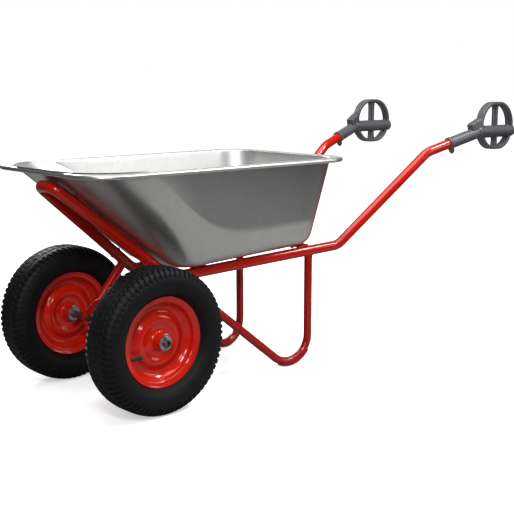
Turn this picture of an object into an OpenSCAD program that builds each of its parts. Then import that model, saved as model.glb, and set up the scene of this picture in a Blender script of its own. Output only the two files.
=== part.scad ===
// Two-wheel wheelbarrow: a pressed tray on a looped tube frame, two pneumatic wheels and ring grips.
// X runs along the barrow with the handles at +X, Y is sideways with the left hand at -Y, Z is up.
// The ground is z = 0, and places along the barrow are measured from the axle.

/* [Wheels] */
// Outside diameter of the tyre
tyre_d = 380; // [360:1:400]
// Width of the tyre at its widest
tyre_w = 106; // [98:1:114]
// Distance between the middle planes of the wheels
track = 423; // [410:1:460]
// Lugs round each shoulder of the tyre
lug_count = 72; // [48:1:78]
// Depth of the grooves between the lugs
lug_depth = 5; // [3:0.5:7]
// Thickness of the sidewalls of the tyre
tyre_wall = 7.4; // [6:0.1:9]
// Thickness of the tread, with its lugs
tread_t = 12; // [10:0.5:14]
// Outside diameter of the rim flange
rim_flange_d = 234; // [228:1:240]
// Diameter of the seat for the tyre bead
rim_seat_d = 203; // [198:1:206]
// Width over the lips of the rim
rim_w = 61; // [57:1:66]
// Thickness of the rim sheet
rim_sheet = 2.5; // [2:0.1:3]
// Outside diameter of the hub tube
hub_d = 38; // [37:0.5:44]
// Length of the hub tube
hub_l = 70; // [66:1:74]
// Outside diameter of a wheel bearing
bearing_d = 32; // [30:0.5:33]
// Width of a wheel bearing
bearing_w = 12; // [9:1:16]
// Diameter of the valve stem
valve_d = 9; // [8:0.5:11]
// Place of the valve round the wheel, turned up from straight back
valve_angle = 201; // [0:1:359]

/* [Axle] */
// Outside diameter of the axle
axle_d = 20; // [18:0.5:22]
// Bore of the axle
axle_bore = 14; // [10:0.5:15]
// Length of axle past the end of each hub
axle_past = 13; // [12:0.5:18]
// Distance from the middle of the barrow to each axle strut
strut_y = 102; // [96:1:110]
// Diameter of the axle struts
strut_d = 25; // [22:0.5:28]
// Distance from the axle back to the heads of the struts
strut_x = 108; // [104:1:112]

/* [Frame] */
// Diameter of the rail and handle tubes
tube_d = 30; // [27:0.5:32]
// Wall of the frame tubes
tube_wall = 2; // [1.5:0.1:2.5]
// Angle in plan that each side opens towards the handles
splay = 8.5; // [7.5:0.1:9.5]
// Half the distance between the two sides, at the axle
half_gap = 62; // [58:1:68]
// Height of the line of the rails, at the axle
rail_z = 303; // [296:1:312]
// Angle that the rails rise towards the back
rail_rise = 3.5; // [2:0.1:5]
// Distance from the axle back to the bend between rail and front slope
front_bend_x = 144; // [138:1:150]
// Angle that the front loop climbs
front_rise = 39.5; // [37:0.5:42]
// Distance from the axle forward to the hairpin of the front loop
hairpin_x = 175; // [160:1:180]
// Distance from the axle back to the bend between rail and handle
rear_bend_x = 713; // [700:1:740]
// Angle that the handles climb
handle_rise = 36.7; // [34:0.1:40]
// Distance from the axle back to the bend at the top of the handle
top_bend_x = 1065; // [1050:1:1090]
// Angle that the ends of the handles climb
end_rise = 15.8; // [14:0.1:18]
// Angle in plan that the ends of the handles open
end_splay = 13; // [11:0.5:14]
// Radius of the bends at the rails
bend_r = 60; // [50:1:70]
// Radius of the bend at the top of the handle
top_bend_r = 90; // [70:1:110]
// Radius of the hairpin
hairpin_r = 29; // [26:0.5:30]

/* [Legs] */
// Diameter of the leg tubes
leg_d = 24; // [21:0.5:26]
// Distance from the axle back to the upright of each leg
leg_x = 603; // [590:1:620]
// Radius of the foot bend
foot_bend_r = 72; // [64:1:80]
// Angle that the leg climbs forward to the rail
leg_rise = 40; // [38:0.5:42]
// Thickness of the skid under the foot bend
skid_t = 3; // [2:0.5:5]

/* [Tray] */
// Thickness of the tray sheet
sheet = 1.5; // [1.2:0.1:2]
// Distance from the axle forward to the front of the rim
rim_front_x = 198; // [194:1:210]
// Distance from the axle back to the back of the rim
rim_back_x = 686; // [676:1:700]
// Width over the rim
rim_width = 514; // [500:1:530]
// Height of the top of the rim
rim_z = 617; // [600:1:630]
// Corner radius of the rim in plan
rim_corner_r = 88; // [80:1:96]
// Radius of the rolled edge
bead_r = 6; // [5.5:0.1:8]
// Width of the flange along the sides and the back
flange_w = 19; // [14:1:24]
// Corner radius of the front wall at the top
nose_corner_r = 150; // [130:1:170]
// Distance from the axle back to the foot of the back wall
floor_back_x = 632; // [622:1:640]
// Half width of the floor at the front wall
floor_front_half = 134; // [126:1:142]
// Half width of the floor at the back wall
floor_back_half = 167; // [160:1:174]
// Corner radius of the floor in plan
floor_corner_r = 72; // [64:1:80]
// Length of the blend from floor to wall
floor_blend = 36; // [30:1:40]
// How far the pressed side panels stand out at their lower edge
panel_out = 6; // [3:0.5:8]
// Thickness of the flat bars under the tray
flat_t = 5; // [4:0.5:7]
// Width of the flat bars under the tray
flat_w = 40; // [34:1:46]
// Diameter of the tray bolts
bolt_d = 8; // [6:0.5:9]

/* [Grips] */
// Distance from the axle back to the middle of the ring
ring_x = 1360; // [1345:1:1375]
// Length of the ring, along its bar
ring_l = 180; // [172:1:186]
// Height of the ring
ring_h = 155; // [148:1:160]
// Height of the middle of the ring above its bar
ring_lift = 19; // [12:1:22]
// Thickness of the ring
ring_t = 10; // [7:0.5:12]
// Width of the ring band
ring_w = 27; // [20:1:30]
// Diameter of the sleeve over the tube
sleeve_d = 37; // [36:0.5:39]
// Length of the sleeve in front of the ring
sleeve_l = 130; // [120:1:136]
// Diameter of the bar across the ring
grip_bar_d = 40; // [36:1:42]
// Length of bar past the back of the ring
bar_past = 6; // [4:0.5:8]
// Width of the posts above and below the bar
post_w = 28; // [22:1:30]
// Thickness of the posts
post_t = 14; // [10:1:18]
// Diameter of the grip screws
screw_d = 5; // [4:0.5:6]

/* [Hidden] */
$fn = 64;

RED = [0.76, 0.06, 0.04];
ZINC = [0.66, 0.67, 0.66];
STEEL = [0.58, 0.59, 0.60];
RUBBER = [0.09, 0.09, 0.10];
PLASTIC = [0.25, 0.26, 0.28];
BRASS = [0.70, 0.56, 0.28];

// Overrun of cuts, gap at welded joints, swelling of a tube at its bends, gap between fitted pieces,
// running clearance and play of a wheel
overrun = 2;
weld_gap = 0.15;
bend_swell = 0.15;
seat_gap = 0.3;
run_gap = 0.05;
wheel_play = 0.5;

// Left is -1 and right is +1
LEFT = -1;
RIGHT = 1;

// Radii and heights that several pieces share
tyre_r = tyre_d / 2;
tube_r = tube_d / 2;
leg_r = leg_d / 2;
axle_r = axle_d / 2;
flange_r = rim_flange_d / 2;
ring_r = ring_h / 2;
axle_z = tyre_r;

// The barrow is centred between its front and back ends
front_reach = max(rim_front_x, tyre_r);
back_reach = ring_x + ring_l / 2 + bar_past;
axle_x = (front_reach - back_reach) / 2;

// Lines of the side frame in side view, and its place in plan
function rail_at(x) = rail_z + x * tan(rail_rise);
function front_at(x) = rail_at(front_bend_x) + (front_bend_x - x) * tan(front_rise);
function handle_at(x) = rail_at(rear_bend_x) + (x - rear_bend_x) * tan(handle_rise);
function on_side(x, z) = [x, half_gap + x * tan(splay), z];

function unit(v) = v / norm(v);
function mix(a, b, share) = a + (b - a) * share;
function columns(x, y, z, at) = [for (i = [0 : 2]) [x[i], y[i], z[i], at[i]]];

// The end of a handle points to the front of the bar of its grip, which lies level and straight along X
end_way = [1, tan(end_splay), tan(end_rise)];
top_corner = on_side(top_bend_x, handle_at(top_bend_x));
bar_start = top_corner + end_way * (ring_x - ring_l / 2 - top_bend_x);
sleeve_along = unit(end_way);
sleeve_out = [-sin(end_splay), cos(end_splay), 0];
sleeve_up = cross(sleeve_along, sleeve_out);

// The side tube butts against the front loop part way up the front slope
butt_x = 76;
tube_tip = bar_start - sleeve_along * ring_t;
side_path = [on_side(butt_x, front_at(butt_x)), on_side(front_bend_x, rail_at(front_bend_x)),
    on_side(rear_bend_x, rail_at(rear_bend_x)), top_corner, tube_tip];
side_bends = [0, bend_r, bend_r, top_bend_r, 0];

// The front loop climbs one side, turns at the hairpin and comes down the other
function other_side(p) = [p[0], -p[1], p[2]];
hairpin = on_side(-hairpin_x, front_at(-hairpin_x));
loop_path = [side_path[0], hairpin, other_side(hairpin), other_side(side_path[0])];
loop_bends = [0, hairpin_r, hairpin_r, 0];

// The leg drops from the rail, turns at the foot and climbs forward to the rail again
leg_slope = tan(leg_rise) / cos(splay);
foot_z = skid_t + leg_r + foot_bend_r;
leg_corner_z = foot_z - foot_bend_r * tan((90 + leg_rise) / 2);
leg_head_x = (leg_corner_z + leg_x * leg_slope - rail_z) / (tan(rail_rise) + leg_slope);
leg_path = [on_side(leg_x, rail_at(leg_x)), on_side(leg_x, leg_corner_z),
    on_side(leg_head_x, rail_at(leg_head_x))];
leg_bends = [0, foot_bend_r, 0];

// Straight round bar between two points
module bar(a, b, r) {
    along = unit(b - a);
    across = unit(cross(along, abs(along[2]) < abs(along[0]) ? [0, 0, 1] : [1, 0, 0]));
    multmatrix(columns(across, cross(along, across), along, a)) cylinder(h = norm(b - a), r = r);
}

// Places a shape made about Z in the bend from a to c round the corner b: it turns from +X towards +Y
module in_bend(a, b, c, bend) {
    along = unit(b - a);
    onward = unit(c - b);
    outward = unit(along * (along * onward) - onward);
    start = b - along * bend * tan(acos(along * onward) / 2);
    multmatrix(columns(outward, along, cross(outward, along), start - outward * bend)) children();
}

// Turn of a bent path at its corner i, and the roll about the run before it from the plane of the last bend
function leg_along(p, i) = unit(p[i + 1] - p[i]);
function turn_at(p, i) = acos(leg_along(p, i - 1) * leg_along(p, i));
function plane_at(p, i) = unit(cross(leg_along(p, i - 1), leg_along(p, i)));
function roll_at(p, i) = i == 1 ? 0 : atan2(cross(plane_at(p, i - 1), plane_at(p, i)) * leg_along(p, i - 1),
    plane_at(p, i - 1) * plane_at(p, i));
function cut_at(p, bends, i) = bends[i] == 0 ? 0 : bends[i] * tan(turn_at(p, i) / 2);

// Straight lengths of a bent path, each with the radius, the turn and the roll of the bend after it
function runs(p, bends, past) = [for (i = [0 : len(p) - 2]) let (last = i == len(p) - 2) [
    norm(p[i + 1] - p[i]) - cut_at(p, bends, i) - cut_at(p, bends, i + 1)
        + (i == 0 ? past : 0) + (last ? past : 0),
    bends[i + 1], last ? 0 : turn_at(p, i + 1), last ? 0 : roll_at(p, i + 1)]];

// Draws run i and what follows it: a straight length up Z, then a roll and a bend towards +X.
// A bend is a little fatter than the straights, which end just inside it.
module run(list, i, r) {
    bend = list[i][1];
    turn = list[i][2];
    before = i == 0 ? 0 : overrun;
    after = i + 1 == len(list) ? 0 : overrun;
    translate([0, 0, -before]) cylinder(h = before + list[i][0] + after, r = r);
    if (i + 1 < len(list)) rotate([0, 0, list[i][3]]) translate([bend, 0, list[i][0]]) {
        rotate([90, 0, 180]) rotate_extrude(angle = turn) translate([bend, 0]) circle(r + bend_swell);
        rotate([0, turn, 0]) translate([-bend, 0, 0]) run(list, i + 1, r);
    }
}

// Round bar along a bent path, drawn out at both ends by past
module bent_bar(p, bends, r, past = 0) {
    along = leg_along(p, 0);
    inward = unit(leg_along(p, 1) - along * (along * leg_along(p, 1)));
    multmatrix(columns(inward, cross(along, inward), along, p[0] - along * past))
        run(runs(p, bends, past), 0, r);
}

module bent_tube(p, bends, d, wall) difference() {
    bent_bar(p, bends, d / 2);
    bent_bar(p, bends, d / 2 - wall, overrun);
}

// Everything is drawn on the right side, and mirrored for the left
module on(side) translate([axle_x, 0, 0]) mirror([0, side == LEFT ? 1 : 0, 0]) children();
module centred() translate([axle_x, 0, 0]) children();

// Outer face of the side tube with a weld gap, which cuts the ends of what is welded to it
module side_tube_cut() bent_bar(side_path, side_bends, tube_r + weld_gap);

module side_tube(side) color(RED) on(side) bent_tube(side_path, side_bends, tube_d, tube_wall);

module front_loop() color(RED) centred() bent_tube(loop_path, loop_bends, tube_d, tube_wall);

module leg(side) color(RED) on(side) difference() {
    bent_tube(leg_path, leg_bends, leg_d, tube_wall);
    side_tube_cut();
}

// The skid covers the underside of the foot bend from skid_from to skid_to, counted down from the upright
skid_from = 34;
skid_to = 112;
skid_wrap_share = 0.2;
module foot_skid(side) color(RED) on(side)
    in_bend(leg_path[0], leg_path[1], leg_path[2], foot_bend_r) rotate([0, 0, skid_from])
        rotate_extrude(angle = skid_to - skid_from) translate([foot_bend_r, 0]) intersection() {
            difference() {
                circle(leg_r + skid_t);
                circle(leg_r + bend_swell + weld_gap);
            }
            translate([leg_r * skid_wrap_share, -leg_d]) square([leg_d, 2 * leg_d]);
        }

// Frames on the plane of the rails and on the plane of the front slope: +Z is up from the tubes
module on_rails(x) translate([x, 0, rail_at(x)]) rotate([0, -rail_rise, 0])
    translate([0, 0, tube_r + weld_gap]) children();
module on_slope(x) translate([x, 0, front_at(x)]) rotate([0, front_rise, 0])
    translate([0, 0, tube_r + weld_gap]) children();

// Places of the three flat bars and of the two bolts in each
front_bar_x = 236;
rear_bar_x = 584;
nose_bar_x = -112;
front_bolt_y = 62;
rear_bolt_y = 104;
nose_bolt_y = 20;
flat_past = 4;

module flat_bar(x, bolt_y) difference() {
    half = on_side(x, 0)[1] + flat_past;
    translate([-flat_w / 2, -half, 0]) cube([flat_w, 2 * half, flat_t]);
    for (y = [-bolt_y, bolt_y]) translate([0, y, 0]) bolt_hole();
}

module front_crossbar() color(RED) centred() on_rails(front_bar_x) flat_bar(front_bar_x, front_bolt_y);
module rear_crossbar() color(RED) centred() on_rails(rear_bar_x) flat_bar(rear_bar_x, rear_bolt_y);
module nose_strap() color(RED) centred() on_slope(nose_bar_x) flat_bar(nose_bar_x, nose_bolt_y);

// Each tray bolt stands on the underside of its flat bar
module at_bolts() centred() for (s = [LEFT, RIGHT]) {
    on_rails(front_bar_x) translate([0, s * front_bolt_y, 0]) children();
    on_rails(rear_bar_x) translate([0, s * rear_bolt_y, 0]) children();
    on_slope(nose_bar_x) translate([0, s * nose_bolt_y, 0]) children();
}

// Countersunk bolt heads lie just below the floor of the tray, washers and nuts are under the bars
head_d = 2.2 * bolt_d;
head_h = (head_d - bolt_d) / 2;
head_drop = 0.15;
washer_d = 2.4 * bolt_d;
washer_t = 0.2 * bolt_d;
nut_h = 0.8 * bolt_d;
nut_d = 1.9 * bolt_d;
bolt_past = 0.3 * bolt_d;
grip_l = flat_t + sheet - head_drop;

// Shank from below the bar and head at its top, grown by gap
module bolt_form(below, gap) {
    translate([0, 0, -below]) cylinder(h = below + grip_l, d = bolt_d + 2 * gap);
    translate([0, 0, grip_l - head_h]) cylinder(h = head_h, d1 = bolt_d + 2 * gap, d2 = head_d + 2 * gap);
}

module bolt_hole() {
    bolt_form(overrun, seat_gap);
    translate([0, 0, grip_l]) cylinder(h = overrun, d = head_d + 2 * seat_gap);
}

module tray_bolts() color(ZINC) at_bolts() bolt_form(washer_t + nut_h + bolt_past, 0);

module tray_washers() color(ZINC) at_bolts() translate([0, 0, -washer_t]) difference() {
    cylinder(h = washer_t, d = washer_d);
    translate([0, 0, -overrun]) cylinder(h = washer_t + 2 * overrun, d = bolt_d + 2 * seat_gap);
}

module tray_nuts() color(ZINC) at_bolts() translate([0, 0, -washer_t - nut_h]) difference() {
    cylinder(h = nut_h, d = nut_d, $fn = 6);
    translate([0, 0, -overrun]) cylinder(h = nut_h + 2 * overrun, d = bolt_d + 2 * run_gap);
}

// The tray is one sheet. Its floor lies on the crossbars and its front wall on the nose strap.
// An outline is [front x, back x, front half width, back half width, front corner, back corner].
corner_steps = 8;
side_shares = [0.05, 0.1, 0.15, 0.2, 0.28, 0.4, 0.6, 0.8, 0.93];
bead_z = rim_z - bead_r;
floor_lift = (tube_r + weld_gap + flat_t) / cos(rail_rise);
slope_lift = (tube_r + weld_gap + flat_t) / cos(front_rise);
function floor_at(x, lift) = rail_at(x) + floor_lift + lift;
function slope_x(z) = front_bend_x + (rail_at(front_bend_x) + slope_lift - z) / tan(front_rise);
floor_front_x = front_bend_x + (slope_lift - floor_lift) / (tan(rail_rise) + tan(front_rise));

rim_outline = [-rim_front_x, rim_back_x, rim_width / 2, rim_width / 2, rim_corner_r, rim_corner_r];
top_half = rim_width / 2 - bead_r - flange_w;
function top_outline(z) = [slope_x(z), rim_back_x - bead_r - flange_w, top_half, top_half,
    nose_corner_r, rim_corner_r];
floor_outline = [floor_front_x, floor_back_x, floor_front_half, floor_back_half,
    floor_corner_r, floor_corner_r];
function shrink(o, front, sides) = [o[0] + front, o[1] - sides, o[2] - sides, o[3] - sides,
    o[4] - sides, o[5] - sides];

function corner(x, y, r, from) = [for (i = [0 : corner_steps])
    [x + r * cos(from + 90 * i / corner_steps), y + r * sin(from + 90 * i / corner_steps)]];
function along_side(a, b) = [for (share = side_shares) mix(a, b, share)];
function reversed(list) = [for (i = [len(list) - 1 : -1 : 0]) list[i]];
function mirrored(list) = [for (p = reversed(list)) [p[0], -p[1]]];

// Half of an outline, from the middle of the front round the left side to the middle of the back
function half_outline(o) = let (
    nose = corner(o[0] + o[4], o[4] - o[2], o[4], 180),
    tail = corner(o[1] - o[5], o[5] - o[3], o[5], 270))
    concat(nose, along_side(nose[corner_steps], tail[0]), tail);
function outline(o) = concat(half_outline(o), mirrored(half_outline(o)));
function at_height(points, z) = [for (p = points) [p[0], p[1], z]];
function on_floor(points, lift) = [for (p = points) [p[0], p[1], floor_at(p[0], lift)]];

// Share along the side of each point of an outline: 0 on the nose corner and 1 on the tail corner
half_places = concat([for (i = [0 : corner_steps]) 0], side_shares, [for (i = [0 : corner_steps]) 1]);
places = concat(half_places, reversed(half_places));

// The pressed panel is bounded below by a curve that is low at the back and climbs to the rim in front
panel_low_share = 0.29;
panel_high_share = 0.96;
panel_knee_share = 0.147;
panel_step_share = 0.022;
function panel_edge(place) = panel_low_share
    + (panel_high_share - panel_low_share) / (1 + pow(place / panel_knee_share, 2.6));
function panel_push(place) = place == 0 || place == 1 ? 0 : panel_out;

function blend(a, b, c, share) = mix(mix(a, b, share), mix(b, c, share), share);
function pushed(p, out) = [p[0], p[1] + sign(p[1]) * out, p[2]];

// Rows of one face of the sheet from the floor to the flange. The insets move its foot, its front wall
// and its other walls inwards, and lift moves its floor up.
blend_shares = [0, 0.3, 0.65, 1];
lip_share = 0.035;
lip_out_share = 0.3;
function wall_rows(foot, front, sides, lift, flange_z) = let (
    low = on_floor(outline(shrink(floor_outline, foot, sides)), lift),
    floor_edge = on_floor(outline(shrink(floor_outline, foot + floor_blend, sides + floor_blend)), lift),
    high = at_height(outline(shrink(top_outline(flange_z), front, sides)), flange_z),
    rim = at_height(outline(shrink(rim_outline, bead_r, bead_r)), flange_z),
    ids = [0 : len(low) - 1])
    concat(
        [for (share = blend_shares) [for (i = ids)
            blend(floor_edge[i], low[i], low[i] + unit(high[i] - low[i]) * floor_blend, share)]],
        [for (step = [-panel_step_share, panel_step_share]) [for (i = ids)
            pushed(mix(low[i], high[i], panel_edge(places[i]) + step),
                step > 0 ? panel_push(places[i]) : 0)]],
        [[for (i = ids) mix(high[i], low[i], lip_share / 2)]],
        [[for (i = ids)
            mix(mix(high[i], rim[i], lip_out_share), mix(high[i], low[i], lip_share), lip_share)]],
        [rim]);

// Rows round the rolled edge, from just past its top to under its inner side, on a circle of radius r
bead_turns = [45, 0, -45, -90, -135];
function bead_rows(r) = [for (a = bead_turns) at_height(
    outline(shrink(rim_outline, bead_r - r * cos(a), bead_r - r * cos(a))), bead_z + r * sin(a))];

front_inset = sheet / sin(front_rise);
floor_inset = sheet / cos(rail_rise);
foot_inset = (front_inset - floor_inset / tan(front_rise)) / (1 + tan(rail_rise) / tan(front_rise));
tray_rows = concat(
    wall_rows(0, 0, 0, 0, rim_z - sheet), bead_rows(bead_r - sheet),
    reversed(bead_rows(bead_r)), reversed(wall_rows(foot_inset, front_inset, sheet, floor_inset, rim_z)));

// Skin of a stack of closed rows, capped at both ends
module skin(rows) {
    count = len(rows[0]);
    last = (len(rows) - 1) * count;
    sides = [for (j = [0 : len(rows) - 2], i = [0 : count - 1]) let (k = (i + 1) % count)
        each [[j * count + i, (j + 1) * count + i, j * count + k],
            [j * count + k, (j + 1) * count + i, (j + 1) * count + k]]];
    caps = [[for (i = [0 : count - 1]) i], [for (i = [count - 1 : -1 : 0]) last + i]];
    polyhedron(points = [for (row = rows) each row], faces = concat(sides, caps));
}

module tray() color(ZINC) difference() {
    centred() skin(tray_rows);
    at_bolts() bolt_hole();
}

// The wire lies in the rolled edge all the way round
wire_r = 0.42 * bead_r;
module rim_wire() color(STEEL) centred() translate([0, 0, bead_z]) {
    turn_r = rim_corner_r - bead_r;
    x0 = bead_r - rim_front_x;
    x1 = rim_back_x - bead_r;
    y1 = rim_width / 2 - bead_r;
    for (s = [LEFT, RIGHT]) bar([x0 + turn_r, s * y1, 0], [x1 - turn_r, s * y1, 0], wire_r);
    for (x = [x0, x1]) bar([x, turn_r - y1, 0], [x, y1 - turn_r, 0], wire_r);
    for (at = [[x0 + turn_r, turn_r - y1, 180], [x1 - turn_r, turn_r - y1, 270],
            [x1 - turn_r, y1 - turn_r, 0], [x0 + turn_r, y1 - turn_r, 90]])
        translate([at[0], at[1], 0]) rotate([0, 0, at[2]])
            rotate_extrude(angle = 90) translate([turn_r, 0]) circle(wire_r);
}

// A strut is a tube flattened at its foot, where the axle passes through it
lug_w = 1.55 * strut_d;
lug_t = 0.24 * strut_d;
lug_l = 1.3 * strut_d;
neck_l = 1.3 * strut_d;
strut_foot = [0, strut_y, axle_z];
strut_head = on_side(strut_x, front_at(strut_x));
strut_tilt = atan2(strut_head[0] - strut_foot[0], strut_head[2] - strut_foot[2]);
neck_end = mix(strut_foot, strut_head, (lug_l + neck_l) / norm(strut_head - strut_foot));
neck_slice = 0.02 * strut_d;

module axle_strut(side) color(RED) on(side) difference() {
    union() {
        translate(strut_foot) rotate([0, strut_tilt, 0]) {
            rotate([90, 0, 0]) cylinder(h = lug_t, d = lug_w, center = true);
            translate([-lug_w / 2, -lug_t / 2, 0]) cube([lug_w, lug_t, lug_l]);
        }
        hull($fn = 32) {
            translate(strut_foot) rotate([0, strut_tilt, 0])
                translate([-lug_w / 2, -lug_t / 2, lug_l - neck_slice]) cube([lug_w, lug_t, neck_slice]);
            bar(neck_end, mix(neck_end, strut_head, neck_slice / strut_d), strut_d / 2);
        }
        bar(neck_end, strut_head, strut_d / 2);
    }
    bar(neck_end, strut_head, strut_d / 2 - tube_wall);
    translate(strut_foot) rotate([90, 0, 0])
        cylinder(h = strut_d, r = axle_r + weld_gap, center = true);
    side_tube_cut();
}

// Places along the axle, from the middle of the barrow
hub_end = track / 2 + hub_l / 2;
hub_start = track / 2 - hub_l / 2;
axle_half = hub_end + axle_past;
disc_t = 3;
disc_d = hub_d - 1;
pin_d = 4;
pin_eye_r = 4;
pin_past = 6;
pin_seat = wheel_play + disc_t + seat_gap + pin_d / 2;
pin_places = [hub_start - pin_seat, hub_end + pin_seat];

module along_axle(y) translate([0, y, axle_z]) rotate([-90, 0, 0]) children();

module axle() color(STEEL) centred() difference() {
    along_axle(-axle_half) cylinder(h = 2 * axle_half, r = axle_r);
    along_axle(-axle_half - overrun) cylinder(h = 2 * (axle_half + overrun), d = axle_bore);
    for (s = [LEFT, RIGHT], y = pin_places)
        translate([0, s * y, axle_z]) cylinder(h = 2 * axle_d, d = pin_d + 2 * seat_gap, center = true);
}

disc_places = [hub_start - wheel_play - disc_t, hub_end + wheel_play];
module axle_washers() color(ZINC) for (s = [LEFT, RIGHT], y = disc_places)
    on(s) along_axle(y) difference() {
        cylinder(h = disc_t, d = disc_d);
        translate([0, 0, -overrun]) cylinder(h = disc_t + 2 * overrun, r = axle_r + seat_gap);
    }

module split_pins() color(ZINC) for (s = [LEFT, RIGHT], y = pin_places) on(s) translate([0, y, axle_z]) {
    translate([0, 0, -axle_r - pin_past]) cylinder(h = axle_d + 2 * pin_past, d = pin_d);
    translate([0, 0, axle_r + pin_past + pin_eye_r]) rotate([90, 0, 0])
        rotate_extrude() translate([pin_eye_r, 0]) circle(d = pin_d);
}

// A wheel stands on the right, with its outer face towards +Y of its own middle plane
module at_wheel(side) on(side) translate([0, track / 2, axle_z]) children();
module turned() rotate([-90, 0, 0]) rotate_extrude($fn = 96) children();

// Tyre section: places across the half width and up from the flange to the tread, outside and in the cavity
tread_shares = [[0, 1], [0.57, 0.992], [0.83, 0.905], [0.945, 0.75], [1, 0.56], [1, 0.42],
    [0.95, 0.27], [0.83, 0.13], [0.62, 0.055]];
cavity_shares = [[0, 1], [0.7, 0.98], [0.93, 0.84], [1, 0.66], [1, 0.5], [0.93, 0.32], [0.77, 0.144],
    [0.49, 0.024]];
function tyre_point(shares) = [mix(flange_r, tyre_r, shares[1]), shares[0] * tyre_w / 2];
cavity = [for (s = cavity_shares)
    [mix(flange_r, tyre_r - tread_t, s[1]), s[0] * (tyre_w / 2 - tyre_wall)]];
seat_r = rim_seat_d / 2;
lip_out = 3;
bead_face = rim_w / 2 - lip_out - rim_sheet - seat_gap;
bead_in_share = 0.52;
bead_mid_share = 0.6;
bead_low = seat_r + seat_gap;
half_tyre = concat([for (s = tread_shares) tyre_point(s)],
    [[flange_r - seat_gap, bead_face + rim_sheet / 2], [mix(bead_low, flange_r, bead_mid_share), bead_face],
        [bead_low + rim_sheet, bead_face], [bead_low, bead_face - rim_sheet],
        [bead_low, bead_face * bead_in_share],
        [mix(bead_low, flange_r, bead_mid_share), bead_face * bead_mid_share]],
    reversed(cavity));
function flipped(list) = [for (p = reversed(list)) if (p[1] != 0) [p[0], -p[1]]];

// Grooves between the lugs run down each shoulder
shoulder = tyre_point(tread_shares[2]);
shoulder_slope = atan2(tyre_point(tread_shares[1])[0] - tyre_point(tread_shares[3])[0],
    tyre_point(tread_shares[3])[1] - tyre_point(tread_shares[1])[1]);
groove_w = 0.42 * PI * tyre_d / lug_count;
groove_l = 0.27 * tyre_w;
groove_skew = 14;

module tyre(side) color(RUBBER) at_wheel(side) difference() {
    turned() polygon(concat(half_tyre, flipped(half_tyre)));
    for (s = [LEFT, RIGHT], i = [0 : lug_count - 1]) rotate([0, (i + s / 4) * 360 / lug_count, 0])
        translate([0, s * shoulder[1], shoulder[0]]) rotate([-s * shoulder_slope, 0, 0])
            rotate([0, 0, s * groove_skew]) cube([groove_w, groove_l, 2 * lug_depth], center = true);
}

// The inner tube fills the tyre
tube_skin = 1.5;
tube_floor_shares = [0.3, 0.4];
tube_floor = [mix(bead_low, flange_r, tube_floor_shares[0]), bead_face * tube_floor_shares[1]];
function tube_half(inset) = let (middle = (flange_r + tyre_r) / 2) [for (p = concat(cavity, [tube_floor]))
    [p[0] > middle ? p[0] - inset : p[0] + inset, p[1] == 0 ? 0 : p[1] - inset]];
module tube_section(inset) polygon(concat(tube_half(inset), flipped(tube_half(inset))));
module inner_tube(side) color(RUBBER) at_wheel(side) turned() difference() {
    tube_section(seat_gap);
    tube_section(seat_gap + tube_skin);
}

// Strip of even thickness along a line of points
function strip_normal(p, i) = let (
    b = i == 0 ? unit(p[1] - p[0]) : unit(p[i] - p[i - 1]),
    c = i == len(p) - 1 ? b : unit(p[i + 1] - p[i]),
    m = unit(b + c))
    [-m[1], m[0]] / (m * b);
function strip(p, t) = concat([for (i = [0 : len(p) - 1]) p[i] + strip_normal(p, i) * t / 2],
    [for (i = [len(p) - 1 : -1 : 0]) p[i] - strip_normal(p, i) * t / 2]);

// Rim half: lip, flange, bead seat, slope to the middle plane, then a ridged disc up to the hub collar
half_sheet = rim_sheet / 2;
flange_y = rim_w / 2 - lip_out - half_sheet;
lip_drop = 8;
root = 3.75;
seat_end_share = 0.45;
seat_line = seat_r - half_sheet;
seat_end = seat_end_share * rim_w / 2;
trough_r = seat_line - seat_end + half_sheet;
collar_r = hub_d / 2 + run_gap + half_sheet;
collar_share = 0.56;
disc_shares = [[0.86, 0], [0.78, 0.06], [0.68, 0.24], [0.6, 0.33], [0.52, 0.36], [0.44, 0.33], [0.34, 0.22],
    [0.26, 0.19], [0.14, 0.19], [0.06, 0.24]];
collar_end = mix(half_sheet, rim_w / 2, collar_share);
rim_line = concat(
    [[flange_r - half_sheet, rim_w / 2 - half_sheet], [flange_r - lip_drop, flange_y],
        [seat_line + root, flange_y], [seat_line, flange_y - root], [seat_line, seat_end],
        [trough_r, half_sheet]],
    [for (s = disc_shares) [mix(collar_r, trough_r, s[0]), half_sheet + s[1] * rim_w / 2]],
    [[collar_r, collar_end - root], [collar_r, collar_end]]);

// The valve stands square to the slope of the outer half, and its tail ends at the inner tube
valve_root = [mix(trough_r, seat_line, 0.5), mix(half_sheet, seat_end, 0.5)];
valve_tail = 16;
valve_l = 34;
valve_foot_d = 1.7 * valve_d;
valve_foot_t = 2;
valve_cap_d = 1.2 * valve_d;
valve_cap_l = 13;
module at_valve() rotate([0, -valve_angle, 0]) translate([valve_root[0], valve_root[1], 0])
    rotate([0, 0, 45]) rotate([-90, 0, 0]) children();

module rim_half() turned() polygon(strip(rim_line, rim_sheet));
module rim_outer(side) color(RED) at_wheel(side) difference() {
    rim_half();
    at_valve() cylinder(h = valve_l, d = valve_d + 2 * seat_gap, center = true);
}
module rim_inner(side) color(RED) at_wheel(side) mirror([0, 1, 0]) rim_half();

module valve(side) color(BRASS) at_wheel(side) difference() {
    at_valve() {
        translate([0, 0, -valve_tail]) cylinder(h = valve_tail + valve_l, d = valve_d);
        translate([0, 0, -half_sheet - seat_gap - valve_foot_t]) cylinder(h = valve_foot_t, d = valve_foot_d);
        translate([0, 0, valve_l - valve_cap_l]) cylinder(h = valve_cap_l, d = valve_cap_d);
    }
    turned() tube_section(0);
}

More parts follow.
